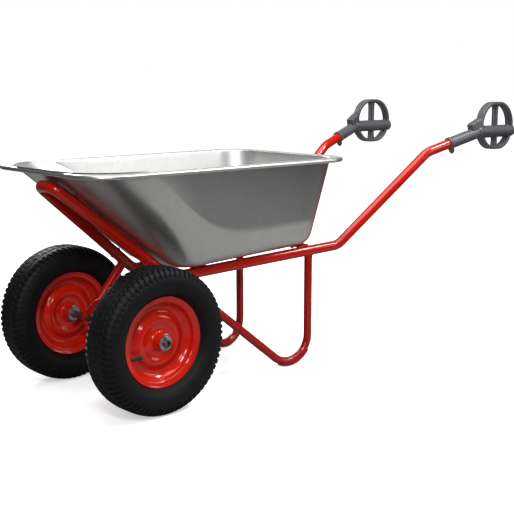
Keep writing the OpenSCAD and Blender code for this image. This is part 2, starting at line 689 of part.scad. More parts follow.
// The hub holds a bearing in each end, against a shoulder
hub_step = 2;
module hub(side) color(ZINC) at_wheel(side) turned() polygon(concat(
    [[hub_d / 2, -hub_l / 2], [hub_d / 2, hub_l / 2], [bearing_d / 2 + run_gap, hub_l / 2],
        [bearing_d / 2 + run_gap, hub_l / 2 - bearing_w], [bearing_d / 2 - hub_step, hub_l / 2 - bearing_w],
        [bearing_d / 2 - hub_step, bearing_w - hub_l / 2], [bearing_d / 2 + run_gap, bearing_w - hub_l / 2],
        [bearing_d / 2 + run_gap, -hub_l / 2]]));

// Sealed bearing: the seal lies a little below the faces of the rings
race_share = 0.3;
seal_drop = 0.6;
module bearing() turned() {
    bore = axle_r + run_gap;
    inner = mix(bore, bearing_d / 2, race_share);
    outer = mix(bearing_d / 2, bore, race_share);
    polygon([[bore, 0], [inner, 0], [inner, seal_drop], [outer, seal_drop], [outer, 0], [bearing_d / 2, 0],
        [bearing_d / 2, bearing_w], [outer, bearing_w], [outer, bearing_w - seal_drop],
        [inner, bearing_w - seal_drop], [inner, bearing_w], [bore, bearing_w]]);
}
module bearings(side) color(STEEL) at_wheel(side) for (y = [-hub_l / 2, hub_l / 2 - bearing_w])
    translate([0, y, 0]) bearing();

// Grip: the sleeve has +X along the tube and +Z up from it, and the ring stands level.
// Both are placed from the front of the bar.
module at_sleeve(side) on(side)
    multmatrix(columns(sleeve_along, sleeve_out, sleeve_up, bar_start)) children();
module at_bar(side) on(side) translate(bar_start) children();
module along_grip(x) translate([x, 0, 0]) rotate([0, 90, 0]) children();
sleeve_taper = 1.5;
collar_l = 10;
collar_d = sleeve_d + 3;
elbow_d = grip_bar_d + 2;
block_l = 31;
block_in = 18;
block_w = 28;
block_top = 43;
block_cut = 8;
clamp_l = 16;
clamp_w = 14;
clamp_h = 12;
ring_edge = 2;
ring_flat = ring_l - ring_h;
post_web_share = 0.5;
post_rib_share = 0.36;
screw_x = clamp_l / 2 + sleeve_taper - sleeve_l;
screw_head_d = 2 * screw_d;
screw_head_h = 0.6 * screw_d;

// Section of the ring band: distance from its middle, and place across its width
module ring_section() {
    inner_r = ring_r - ring_t;
    half = ring_w / 2;
    polygon([[inner_r, ring_edge - half], [inner_r + ring_edge, -half], [ring_r - ring_edge, -half],
        [ring_r, ring_edge - half], [ring_r, half - ring_edge], [ring_r - ring_edge, half],
        [inner_r + ring_edge, half], [inner_r, half - ring_edge]]);
}

// The ring is two half circles joined by short straights
module ring_band() rotate([90, 0, 0]) for (turn = [0, 180]) rotate([0, 0, turn]) {
    translate([ring_flat / 2, 0, 0]) rotate([0, 0, -90]) rotate_extrude(angle = 180, $fn = 96) ring_section();
    multmatrix(columns([0, 1, 0], [0, 0, 1], [1, 0, 0], [-ring_flat / 2, 0, 0]))
        linear_extrude(height = ring_flat) ring_section();
}

// A post is a wide thin web with a narrow rib, and runs from the top of the ring to its foot
module post(w, t) translate([-w / 2, -t / 2, ring_t / 2 - ring_r]) cube([w, t, 2 * ring_r - ring_t]);

module grip_sleeve() {
    along_grip(-sleeve_l) cylinder(h = sleeve_l, d = sleeve_d);
    along_grip(-sleeve_l) cylinder(h = collar_l, d = collar_d);
    rotate([90, 0, 0]) linear_extrude(height = block_w, center = true) polygon([[-block_l, 0], [block_in, 0],
        [block_in, block_top], [block_cut - block_l, block_top], [-block_l, block_top - block_cut]]);
    translate([screw_x - clamp_l / 2, -clamp_w / 2, -sleeve_d / 2 - clamp_h])
        cube([clamp_l, clamp_w, sleeve_d / 2 + clamp_h]);
}

module grip(side) color(PLASTIC) difference() {
    union() {
        at_sleeve(side) grip_sleeve();
        at_bar(side) {
            sphere(d = elbow_d);
            along_grip(0) cylinder(h = ring_l + bar_past, d = grip_bar_d);
            translate([ring_l / 2, 0, ring_lift]) {
                ring_band();
                post(post_w, post_t * post_web_share);
                post(post_w * post_rib_share, post_t);
            }
        }
    }
    at_sleeve(side) {
        along_grip(-sleeve_l - overrun)
            cylinder(h = sleeve_l - ring_t + overrun + seat_gap, d = tube_d + 2 * seat_gap);
        translate([screw_x, 0, -sleeve_d]) cylinder(h = sleeve_d, d = screw_d + 2 * run_gap);
    }
}

module grip_screws() color(STEEL) for (s = [LEFT, RIGHT]) at_sleeve(s) {
    foot = -sleeve_d / 2 - clamp_h;
    translate([screw_x, 0, foot]) cylinder(h = -foot - tube_r - seat_gap, d = screw_d);
    translate([screw_x, 0, foot - screw_head_h]) cylinder(h = screw_head_h, d = screw_head_d);
}

tray();
rim_wire();
tray_bolts();
tray_washers();
tray_nuts();
side_tube(LEFT);  // left_side_tube
side_tube(RIGHT);  // right_side_tube
front_loop();
leg(LEFT);  // left_leg
leg(RIGHT);  // right_leg
foot_skid(LEFT);  // left_foot_skid
foot_skid(RIGHT);  // right_foot_skid
front_crossbar();
rear_crossbar();
nose_strap();
axle_strut(LEFT);  // left_axle_strut
axle_strut(RIGHT);  // right_axle_strut
axle();
axle_washers();
split_pins();
grip(LEFT);  // left_grip
grip(RIGHT);  // right_grip
grip_screws();
tyre(LEFT);  // left_tyre
inner_tube(LEFT);  // left_inner_tube
rim_outer(LEFT);  // left_rim_outer
rim_inner(LEFT);  // left_rim_inner
hub(LEFT);  // left_hub
bearings(LEFT);  // left_bearings
valve(LEFT);  // left_valve
tyre(RIGHT);  // right_tyre
inner_tube(RIGHT);  // right_inner_tube
rim_outer(RIGHT);  // right_rim_outer
rim_inner(RIGHT);  // right_rim_inner
hub(RIGHT);  // right_hub
bearings(RIGHT);  // right_bearings
valve(RIGHT);  // right_valve
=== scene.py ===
"""Looks of a two-wheel wheelbarrow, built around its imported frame.

Lengths are in millimetres until a surface becomes a mesh. X runs along the barrow with the handles at +X,
Y is sideways with the left hand at -Y, Z is up, and places along the barrow are counted from the axle.
"""
import math
from collections import namedtuple

import bpy
import numpy as np
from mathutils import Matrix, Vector


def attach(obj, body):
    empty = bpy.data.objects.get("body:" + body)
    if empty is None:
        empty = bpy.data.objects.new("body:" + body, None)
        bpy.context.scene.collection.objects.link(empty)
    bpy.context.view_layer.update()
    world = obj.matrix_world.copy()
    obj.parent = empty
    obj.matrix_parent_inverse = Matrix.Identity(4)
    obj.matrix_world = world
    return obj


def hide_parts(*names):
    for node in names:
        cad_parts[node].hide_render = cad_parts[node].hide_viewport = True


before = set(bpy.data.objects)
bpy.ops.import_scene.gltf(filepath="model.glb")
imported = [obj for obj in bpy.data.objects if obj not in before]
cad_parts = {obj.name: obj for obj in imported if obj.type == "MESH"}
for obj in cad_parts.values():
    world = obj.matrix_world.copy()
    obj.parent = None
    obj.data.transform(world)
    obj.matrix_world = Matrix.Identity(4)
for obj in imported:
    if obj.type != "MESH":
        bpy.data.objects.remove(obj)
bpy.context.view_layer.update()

MM = 0.001
DEG = math.pi / 180

# Wheels
TYRE_R = 190.0
TYRE_W = 106.0
TRACK = 423.0
FLANGE_R = 117.0
FLANGE_INSET = 3.0
SEAT_R = 101.5
SEAT_SHARE = 0.45
RIM_W = 61.0
RIM_SHEET = 2.5
RIM_LIP = 8.0
RIM_BEND = 3.75
HUB_R = 19.0
HUB_FIT = 0.05
COLLAR_SHARE = 0.56
BEAD_FIT = 0.3
VALVE_TURN = 201.0

# Tread, with places along the tyre's section counted from the middle of the crown
LUGS = 72
LUG_DEPTH = 3.4
LUG_FROM, LUG_FROM_FADE = 25.0, 4.0
LUG_TO, LUG_TO_FADE = 64.0, 5.0
LUG_LEAN, LUG_LEAN_FADE = 0.5, 2.0
LUG_SKEW, SKEW_MIDDLE, SKEW_REACH, SKEW_FADE = 0.3, 40.0, 25.0, 10.0
CROWN_HALF = 20.0
CROWN_GROOVE, CROWN_GROOVE_HALF, CROWN_GROOVE_FADE = 14.0, 3.1, 1.2
CROWN_GROOVE_SHARE = 0.4
CROWN_WEAVE = 2.2
NOTCH_HALF, NOTCH_FADE = 9.0, 2.0
NOTCH_SHARE = 0.35
FINE_TO = 66.0

# Frame
TUBE_R = 15.0
LEG_R = 12.0
STRUT_R = 12.5
SPLAY = 8.5
HALF_GAP = 62.0
RAIL_Z = 303.0
RAIL_RISE = 3.5
FRONT_BEND_X = 144.0
FRONT_RISE = 39.5
HAIRPIN_X = 175.0
REAR_BEND_X = 713.0
HANDLE_RISE = 36.7
TOP_BEND_X = 1065.0
END_RISE = 15.8
END_SPLAY = 13.0
BEND_R = 60.0
TOP_BEND_R = 90.0
HAIRPIN_R = 29.0
BUTT_X = 76.0
LEG_X = 603.0
FOOT_BEND_R = 72.0
LEG_RISE = 40.0
SKID_T = 3.0
STRUT_Y = 102.0
STRUT_X = 108.0
STRUT_LUG_R = 19.4
STRUT_LUG_HALF_T = 3.0
STRUT_LUG_L = 32.0
STRUT_NECK = 34.0
FLAT_T = 5.0
FLAT_W = 40.0
FLAT_PAST = 4.0
FLAT_EDGE_R = 1.2
BAR_PLACES = {"front_crossbar": 236.0, "rear_crossbar": 584.0, "nose_strap": -112.0}
BOLT_PLACES = {"front_crossbar": 62.0, "rear_crossbar": 104.0, "nose_strap": 20.0}
BOLT_BELOW = 10.4
WELD_GAP = 0.15
WELD_BEAD, WELD_RIPPLES = 2.4, 22
BUTT_BEAD, BUTT_RIPPLES = 1.8, 24
RIPPLE_SHARE = 0.12
SEAM_BACK = 80.0

# Tray
SHEET = 1.5
RIM_FRONT_X = 198.0
RIM_BACK_X = 686.0
RIM_HALF = 257.0
RIM_Z = 617.0
RIM_CORNER_R = 88.0
BEAD_R = 6.0
FLANGE_OUT = 19.0
NOSE_CORNER_R = 150.0
FLOOR_BACK_X = 632.0
FLOOR_FRONT_HALF = 134.0
FLOOR_BACK_HALF = 167.0
FLOOR_CORNER_R = 72.0
FLOOR_BLEND = 36.0
PANEL_OUT = 5.0

# Grips
RING_X = 1360.0
RING_L = 180.0
RING_H = 155.0
RING_LIFT = 19.0
RING_T = 10.0
RING_W = 27.0
RING_EDGE_R = 2.6
SLEEVE_R = 18.5
SLEEVE_L = 130.0
SLEEVE_PAST = 2.0
GRIP_BAR_R = 20.0
BAR_CROWN = 0.5
BAR_END_R = 4.0
BAR_PAST = 6.0
ELBOW_R = GRIP_BAR_R + 1
POST_W = 28.0
POST_T = 14.0
POST_FLARE, POST_FLARE_REACH = 9.0, 7.0
WEB_EDGE_R = 1.6
RIB_EDGE_R = 2.0
RIB_SHARE = 0.18
BLOCK_L = 31.0
BLOCK_IN = 18.0
BLOCK_W = 28.0
BLOCK_TOP = 43.0
BLOCK_EDGE_R = 3.5
BLOCK_CUT, BLOCK_CUT_FROM, BLOCK_CUT_FADE = 8.0, 20.0, 14.0
CLAMP_L = 16.0
CLAMP_W = 14.0
CLAMP_H = 12.0
CLAMP_IN = 10.0
CLAMP_SET = 1.5
CLAMP_EDGE_R = 2.0
CLAMP_TAPER = 0.25

AXLE_X = (RIM_FRONT_X - RING_X - RING_L / 2 - BAR_PAST) / 2

Skin = namedtuple("Skin", "points quads tris")
NO_TRIS = np.zeros((0, 3), int)
LEAST_R = 0.05


def tan(degrees):
    """Tangent of an angle in degrees."""
    return math.tan(degrees * DEG)


def unit(v):
    """A vector over its own length."""
    return np.asarray(v, float) / np.linalg.norm(v)


def smooth(x):
    """0 below 0, 1 above 1 and 3x^2 - 2x^3 between."""
    x = np.clip(x, 0, 1)
    return x * x * (3 - 2 * x)


def full_turn(steps):
    """Angles of even steps once round."""
    return np.arange(steps) * 2 * math.pi / steps


def rail_at(x):
    """Height of the rail's middle line, which rises evenly from RAIL_Z above the axle."""
    return RAIL_Z + x * tan(RAIL_RISE)


def front_at(x):
    """Height of the front slope's middle line, which climbs forwards from the front bend."""
    return rail_at(FRONT_BEND_X) + (FRONT_BEND_X - x) * tan(FRONT_RISE)


def handle_at(x):
    """Height of the handle's middle line, which climbs backwards from the rear bend."""
    return rail_at(REAR_BEND_X) + (x - REAR_BEND_X) * tan(HANDLE_RISE)


def on_side(x, z):
    """Point of the right-hand side frame, whose plane opens towards the handles."""
    return np.array([x, HALF_GAP + x * tan(SPLAY), z])


# Surfaces

def lay(grid, round_u=False, round_v=False):
    """Quads between neighbours of a grid; round_u and round_v join the last row or column to the first."""
    m, n = grid.shape[:2]
    ids = np.arange(m * n).reshape(m, n)
    if round_u:
        ids = np.concatenate([ids, ids[:1]])
    if round_v:
        ids = np.concatenate([ids, ids[:, :1]], axis=1)
    quads = np.stack([ids[:-1, :-1], ids[1:, :-1], ids[1:, 1:], ids[:-1, 1:]], axis=-1).reshape(-1, 4)
    return Skin(grid.reshape(-1, 3), quads, NO_TRIS)


def capped(grid):
    """A grid that is round in v, with each end row closed by a fan about its middle."""
    m, n = grid.shape[:2]
    skin = lay(grid, round_v=True)
    middles = grid[[0, -1]].mean(axis=1)
    low = np.arange(n)
    high = low + (m - 1) * n
    fans = [np.stack([np.full(n, m * n), low, np.roll(low, -1)], axis=1),
            np.stack([np.full(n, m * n + 1), np.roll(high, -1), high], axis=1)]
    return Skin(np.concatenate([skin.points, middles]), skin.quads, np.concatenate(fans))


def facing_out(skin):
    """Turns the faces round if the volume inside is negative: the sum of a . (b x c) over the triangles."""
    p = skin.points - skin.points.mean(axis=0)
    t = np.concatenate([skin.quads[:, :3], skin.quads[:, [0, 2, 3]], skin.tris])
    inside = np.einsum("ij,ij->", p[t[:, 0]], np.cross(p[t[:, 1]], p[t[:, 2]]))
    return skin if inside > 0 else Skin(skin.points, skin.quads[:, ::-1], skin.tris[:, ::-1])


def together(*skins):
    """Several closed surfaces as one."""
    starts = np.cumsum([0] + [len(s.points) for s in skins])
    return Skin(np.concatenate([s.points for s in skins]),
                np.concatenate([s.quads + k for s, k in zip(skins, starts)]),
                np.concatenate([s.tris + k for s, k in zip(skins, starts)]))


def moved(skin, axes=np.eye(3), at=(0, 0, 0)):
    """Local x, y, z laid along the three rows of axes, from the point at."""
    return Skin(skin.points @ np.asarray(axes) + np.asarray(at), skin.quads, skin.tris)


def left_of(skin):
    """The mirror image on the left side."""
    return Skin(skin.points * [1, -1, 1], skin.quads[:, ::-1], skin.tris[:, ::-1])


def right_of(skin):
    """The surface as it is made, on the right side."""
    return skin


HANDS = {"left": left_of, "right": right_of}


def linked(name, data):
    """New object of some data, linked to the scene."""
    thing = bpy.data.objects.new(name, data)
    bpy.context.scene.collection.objects.link(thing)
    return thing


def put(name, skin, material, body, slot, nodes=(), crease=38):
    """Makes a mesh of a surface, with smooth shading up to the crease angle, and rides it on its body."""
    mesh = bpy.data.meshes.new(name)
    points = (skin.points + [AXLE_X, 0, 0]) * MM
    mesh.from_pydata(points.tolist(), [], skin.quads.tolist() + skin.tris.tolist())
    mesh.polygons.foreach_set("use_smooth", np.ones(len(mesh.polygons), bool))
    mesh.set_sharp_from_angle(angle=crease * DEG)
    mesh.materials.append(material)
    piece = linked(name, mesh)
    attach(piece, body)
    if nodes:
        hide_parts(*nodes)
    return piece


def rounded_line(line, rounds):
    """Corner cutting: each pass puts points at a quarter and three quarters of every edge; the ends stay."""
    for _ in range(rounds):
        near, far = line[:-1], line[1:]
        cut = np.stack([0.75 * near + 0.25 * far, 0.25 * near + 0.75 * far], axis=1).reshape(-1, 2)
        line = np.concatenate([line[:1], cut, line[-1:]])
    return line


def turned(profile, steps):
    """Closed profile of (radius, out) turned about Y: x = r cos a, y = out, z = r sin a."""
    a = full_turn(steps)[:, None]
    r, out = profile.T
    return facing_out(lay(np.stack([r * np.cos(a), out + 0 * a, r * np.sin(a)], axis=-1), True, True))


def spun(x, radius, steps=56):
    """Radius over x, turned about the X axis: y = r cos a, z = r sin a."""
    a = full_turn(steps)[None]
    r = radius[:, None]
    return facing_out(capped(np.stack([x[:, None] + 0 * a, r * np.cos(a), r * np.sin(a)], axis=-1)))


def corner_turns(steps):
    """Angles round four quarter circles, and for each angle the signs (x, y) of its corner."""
    quarter = np.linspace(0, math.pi / 2, steps + 1)
    turn = np.concatenate([quarter + k * math.pi / 2 for k in range(4)])
    return turn, np.repeat([[1, 1], [-1, 1], [-1, -1], [1, -1]], steps + 1, axis=0)


def stacked(z, half_x, half_y, r, steps=5):
    """Rounded rectangles up Z: x = sx (hx - r) + r cos a and y = sy (hy - r) + r sin a.

    hx and hy are half the sides, and sx and sy the signs of the corner.
    """
    turn, sign = corner_turns(steps)
    x = sign[:, 0] * (half_x - r)[:, None] + r[:, None] * np.cos(turn)
    y = sign[:, 1] * (half_y - r)[:, None] + r[:, None] * np.sin(turn)
    return facing_out(capped(np.stack([x, y, z[:, None] + 0 * x], axis=-1)))


def rounded_box(low, high, r, steps=5):
    """Stacked rectangles that draw in by r - r sin a and rise by r - r cos a towards both ends."""
    low, high = np.asarray(low, float), np.asarray(high, float)
    a = np.linspace(0, math.pi / 2, steps + 1)
    inset, rise = r - r * np.sin(a), r - r * np.cos(a)
    z = np.concatenate([low[2] + rise, (high[2] - rise)[::-1]])
    inset = np.concatenate([inset, inset[::-1]])
    mid, half = (low + high) / 2, (high - low) / 2
    box = stacked(z, half[0] - inset, half[1] - inset, np.maximum(r - inset, LEAST_R), steps)
    return moved(box, at=[mid[0], mid[1], 0])


def bent_line(corners, radii, steps=18):
    """Centre line and its directions: straights between corners, joined by arcs of the given radii.

    An arc about the point m is m + R (out cos a + along sin a).
    """
    points, ways = [corners[0][None]], [unit(corners[1] - corners[0])[None]]
    for before, corner, after, radius in zip(corners[:-2], corners[1:-1], corners[2:], radii[1:-1]):
        along, onward = unit(corner - before), unit(after - corner)
        turn = math.acos(along @ onward)
        out = unit(along * (along @ onward) - onward)
        middle = corner - along * radius * math.tan(turn / 2) - out * radius
        a = np.linspace(0, turn, steps)[:, None]
        points.append(middle + radius * (out * np.cos(a) + along * np.sin(a)))
        ways.append(along * np.cos(a) - out * np.sin(a))
    points.append(corners[-1][None])
    ways.append(unit(corners[-1] - corners[-2])[None])
    return np.concatenate(points), np.concatenate(ways)


def tube(corners, radii, r, sides=40):
    """Circle of radius r carried along a bent line: p = c + r (n cos a + (way x n) sin a).

    n is the normal of the first bend's plane, made square to the line's direction at each point.
    """
    corners = np.asarray(corners, float)
    line, ways = bent_line(corners, radii)
    plane = unit(np.cross(corners[1] - corners[0], corners[2] - corners[1]))
    n = plane - ways * (ways @ plane)[:, None]
    n = n / np.linalg.norm(n, axis=1)[:, None]
    a = full_turn(sides)[None, :, None]
    ring = n[:, None] * np.cos(a) + np.cross(ways, n)[:, None] * np.sin(a)
    return facing_out(capped(line[:, None] + r * ring))


def seam_round(way, other, steps=96):
    """Angles a once round a tube along way, and directions e1 cos a + e2 sin a, with e1 = way x other."""
    e1 = unit(np.cross(way, other))
    e2 = np.cross(way, e1)
    a = full_turn(steps)[:, None]
    return a, e1 * np.cos(a) + e2 * np.sin(a)


def weld_bead(middle, a, outward, way, size, ripples, sides=10):
    """Circles of radius size (1 + share cos(ripples a)) about the points of a seam, across its line."""
    radius = size * (1 + RIPPLE_SHARE * np.cos(a * ripples))[:, :, None]
    b = full_turn(sides)[None, :, None]
    ring = outward[:, None] * np.cos(b) + way * np.sin(b)
    return facing_out(lay(middle[:, None] + radius * ring, True, True))


def saddle_weld(start, head, r, base, base_way, base_r):
    """Bead where a tube of radius r, from start to head, meets one of radius base_r on base + s base_way.

    foot lies SEAM_BACK before head. At each angle a the bead's middle is the point foot + r e(a) + t way at
    distance base_r from the second tube's line: the smaller root t of a quadratic.
    """
    way, base_way = unit(head - start), unit(base_way)
    foot = head - way * SEAM_BACK
    a, outward = seam_round(way, base_way)
    lift = foot + r * outward - base
    flat = lift - np.outer(lift @ base_way, base_way)
    go = way - base_way * (way @ base_way)
    b, c = flat @ go, (flat * flat).sum(axis=1) - base_r ** 2
    t = (-b - np.sqrt(np.maximum(b * b - (go @ go) * c, 0))) / (go @ go)
    return weld_bead(foot + r * outward + t[:, None] * way, a, outward, way, WELD_BEAD, WELD_RIPPLES)


def butt_weld(at, way, r):
    """Ring of weld round the joint of two tubes of radius r that meet end to end at a point."""
    way = unit(way)
    a, outward = seam_round(way, [0, 0, 1])
    return weld_bead(at + outward * r, a, outward, way, BUTT_BEAD, BUTT_RIPPLES)


# Materials

FLOAT = "NodeSocketFloat"


def new_group(name, inputs, outputs):
    """Empty node group with numbers for its inputs, by name and value, and for its outputs, by name."""
    group = bpy.data.node_groups.new(name, "ShaderNodeTree")
    for label, value in inputs.items():
        group.interface.new_socket(label, in_out="INPUT", socket_type=FLOAT).default_value = value
    for label in outputs:
        group.interface.new_socket(label, in_out="OUTPUT", socket_type=FLOAT)
    return group, group.nodes.new("NodeGroupInput"), group.nodes.new("NodeGroupOutput")


def fill(node, values):
    """Sets inputs of a node, by name or by number."""
    for key, value in values.items():
        node.inputs[key].default_value = value


def add(tree, kind, links=(), at=(), **settings):
    """Adds a node, sets its properties and then the inputs under 'at', and links the given sockets to it."""
    node = tree.nodes.new(kind)
    for key, value in settings.items():
        setattr(node, key, value)
    fill(node, dict(at))
    for key, socket in dict(links).items():
        tree.links.new(socket, node.inputs[key])
    return node


def ranged(tree, value, to, of=(0, 1)):
    """A value mapped evenly from one range to another, and held within it."""
    node = add(tree, "ShaderNodeMapRange", {"Value": value},
               at={"From Min": of[0], "From Max": of[1], "To Min": to[0], "To Max": to[1]})
    return node.outputs["Result"]


def new_material(name):
    """Material with nodes, its tree and its Principled BSDF."""
    material = bpy.data.materials.new(name)
    material.use_nodes = True
    return material, material.node_tree, material.node_tree.nodes["Principled BSDF"]


def cloud_group():
    """Slow cloud and fine speckle on Object coordinates: a mask from 0 to 1 for each."""
    sizes = {"Cloud size": 6.0, "Speckle size": 300.0}
    group, entry, leave = new_group("Clouds", sizes, ["Cloud", "Speckle"])
    place = add(group, "ShaderNodeTexCoord").outputs["Object"]
    for label in ("Cloud", "Speckle"):
        noise = add(group, "ShaderNodeTexNoise", {"Vector": place, "Scale": entry.outputs[label + " size"]},
                    at={"Detail": 4.0, "Roughness": 0.6})
        group.links.new(ranged(group, noise.outputs["Fac"], (0, 1), of=(0.3, 0.7)), leave.inputs[label])
    return group


def dirt_group():
    """Dust that thins out with height above the ground, broken up by noise: a mask from 0 to Amount."""
    group, entry, leave = new_group("Ground dust", {"Top": 0.2, "Amount": 0.2}, ["Dust"])
    place = add(group, "ShaderNodeTexCoord").outputs["Object"]
    apart = add(group, "ShaderNodeSeparateXYZ", {"Vector": place})
    fall = add(group, "ShaderNodeMapRange", {"Value": apart.outputs["Z"], "From Max": entry.outputs["Top"],
                                             "To Min": entry.outputs["Amount"]}, at={"To Max": 0.0})
    noise = add(group, "ShaderNodeTexNoise", {"Vector": place}, at={"Scale": 38.0, "Detail": 5.0})
    mask = add(group, "ShaderNodeMath", {0: fall.outputs["Result"], 1: noise.outputs["Fac"]},
               operation="MULTIPLY")
    group.links.new(mask.outputs[0], leave.inputs["Dust"])
    return group


CLOUDS = cloud_group()
GROUND_DUST = dirt_group()


def finish(name, dark, light, rough, metallic=0.0, cloud=6.0, speckle=300.0, bump=0.1, bump_mm=0.1,
           dust=None, dust_colour=(0.3, 0.28, 0.25), coat=0.0, coat_rough=0.1, specular=0.5):
    """Principled surface: colour from dark to light by the cloud, roughness between its two values by
    cloud and speckle, a bump from the speckle, and ground dust (top, amount) where given."""
    material, tree, shader = new_material(name)
    clouds = add(tree, "ShaderNodeGroup", node_tree=CLOUDS,
                 at={"Cloud size": cloud, "Speckle size": speckle})
    colour = add(tree, "ShaderNodeMix", {"Factor": clouds.outputs["Cloud"]}, data_type="RGBA",
                 at={"A": (*dark, 1), "B": (*light, 1)})
    shade = colour.outputs["Result"]
    grain = add(tree, "ShaderNodeMix", {"Factor": clouds.outputs["Speckle"], "A": clouds.outputs["Cloud"],
                                        "B": clouds.outputs["Speckle"]})
    roughness = ranged(tree, grain.outputs["Result"], rough)
    if dust:
        mask = add(tree, "ShaderNodeGroup", node_tree=GROUND_DUST, at={"Top": dust[0], "Amount": dust[1]})
        dusty = add(tree, "ShaderNodeMix", {"Factor": mask.outputs["Dust"], "A": shade}, data_type="RGBA",
                    at={"B": (*dust_colour, 1)})
        shade = dusty.outputs["Result"]
        dull = add(tree, "ShaderNodeMix", {"Factor": mask.outputs["Dust"], "A": roughness}, at={"B": 0.9})
        roughness = dull.outputs["Result"]
    relief = add(tree, "ShaderNodeBump", {"Height": clouds.outputs["Speckle"]},
                 at={"Strength": bump, "Distance": bump_mm * MM})
    tree.links.new(shade, shader.inputs["Base Color"])
    tree.links.new(roughness, shader.inputs["Roughness"])
    tree.links.new(relief.outputs["Normal"], shader.inputs["Normal"])
    fill(shader, {"Metallic": metallic, "Coat Weight": coat, "Coat Roughness": coat_rough,
                  "Specular IOR Level": specular})
    return material


def sheet_finish(name, dark, light, rough, metallic):
    """Zinc: spangle cells about a centimetre across shift colour and gloss a little, over a sheet's cloud.

    The mesh attribute 'panel' darkens the outside of the side panels with painted shade, and
    'inside' dulls the face that carries the load.
    """
    material = finish(name, dark, light, rough, metallic, cloud=4.0, speckle=220.0, bump=0.03, bump_mm=0.08)
    tree = material.node_tree
    shader = tree.nodes["Principled BSDF"]
    place = add(tree, "ShaderNodeTexCoord").outputs["Object"]
    cells = add(tree, "ShaderNodeTexVoronoi", {"Vector": place}, at={"Scale": 95.0})
    tone = add(tree, "ShaderNodeSeparateColor", {"Color": cells.outputs["Color"]})
    spread = ranged(tree, tone.outputs["Red"], (0.97, 1.03))
    # Painted shade: 'panel' scales the colour of the side panels' outside down to 0.55 of itself.
    panel = add(tree, "ShaderNodeAttribute", attribute_name="panel")
    drawn = ranged(tree, panel.outputs["Fac"], (1.0, 0.55))
    both = add(tree, "ShaderNodeMath", {0: spread, 1: drawn}, operation="MULTIPLY")
    before = shader.inputs["Base Color"].links[0].from_socket
    after = add(tree, "ShaderNodeMix", {"A": before, "B": both.outputs[0]}, data_type="RGBA",
                blend_type="MULTIPLY", at={"Factor": 1.0})
    tree.links.new(after.outputs["Result"], shader.inputs["Base Color"])
    before = shader.inputs["Roughness"].links[0].from_socket
    after = add(tree, "ShaderNodeMath", {0: before, 1: spread}, operation="MULTIPLY")
    inside = add(tree, "ShaderNodeAttribute", attribute_name="inside")
    duller = add(tree, "ShaderNodeMath", {0: inside.outputs["Fac"], 2: after.outputs[0]}, at={1: 0.13},
                 operation="MULTIPLY_ADD")
    tree.links.new(duller.outputs[0], shader.inputs["Roughness"])
    return material


GLOSS_PAINT = dict(rough=(0.26, 0.36), cloud=5.0, speckle=420.0, bump=0.04, bump_mm=0.06, coat=0.75,
                   coat_rough=0.08, dust=(0.1, 0.03), specular=0.05)
RED_PAINT = finish("red_paint", (0.38, 0.0053, 0.001), (0.445, 0.009, 0.0018), **GLOSS_PAINT)
# Painted shade: a darker copy of the frame's red for the legs and foot skids, for the lesser light on the
# upright legs
LEG_SHADE_PAINT = finish("leg_shaded_paint", (0.28, 0.004, 0.0008), (0.33, 0.0068, 0.0014), **GLOSS_PAINT)
# Painted light: a lighter copy of the frame's red for the rims and hubs, for the light that falls on the
# wheels
RIM_LIT_PAINT = finish("rim_lit_paint", (0.485, 0.008, 0.0018), (0.555, 0.0123, 0.0026), **GLOSS_PAINT)
WELD_PAINT = finish("weld_paint", (0.37, 0.006, 0.001), (0.44, 0.011, 0.002), (0.3, 0.42), cloud=60.0,
                    speckle=700.0, bump=0.25, bump_mm=0.3, coat=0.5, specular=0.15)
TRAY_ZINC = sheet_finish("galvanised_sheet", (0.49, 0.492, 0.476), (0.53, 0.532, 0.515), (0.27, 0.33), 0.88)
ZINC = finish("zinc_plate", (0.34, 0.345, 0.35), (0.46, 0.465, 0.47), (0.3, 0.45), 0.9, cloud=40.0,
              speckle=500.0)
STEEL = finish("bare_steel", (0.1, 0.1, 0.105), (0.18, 0.18, 0.185), (0.36, 0.5), 0.9, cloud=30.0,
               speckle=600.0)
TYRE = finish("tyre_rubber", (0.0024, 0.0028, 0.0034), (0.0052, 0.0057, 0.0068), (0.5, 0.62), cloud=9.0,
              speckle=520.0, bump=0.14, bump_mm=0.1, dust=(0.08, 0.02), dust_colour=(0.1, 0.095, 0.085),
              specular=0.18)
INNER_RUBBER = finish("inner_rubber", (0.012, 0.012, 0.012), (0.02, 0.02, 0.02), (0.6, 0.8))
PLASTIC = finish("grip_plastic", (0.052, 0.053, 0.058), (0.074, 0.076, 0.082), (0.36, 0.5), cloud=25.0,
                 speckle=900.0, bump=0.2, bump_mm=0.08)
BLACK_CAP = finish("valve_rubber", (0.01, 0.01, 0.01), (0.02, 0.02, 0.02), (0.45, 0.6), cloud=60.0)

NODE_FINISHES = (
    (ZINC, ("tray_washers", "tray_nuts", "axle_washers", "split_pins")),
    (STEEL, ("rim_wire", "axle", "grip_screws", "left_bearings", "right_bearings")),
    (INNER_RUBBER, ("left_inner_tube", "right_inner_tube")),
    (RIM_LIT_PAINT, ("left_hub", "right_hub")),
    (LEG_SHADE_PAINT, ("left_foot_skid", "right_foot_skid")))
for paint, nodes in NODE_FINISHES:
    for node in nodes:
        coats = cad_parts[node].data.materials
        coats.clear()
        coats.append(paint)


# Tray

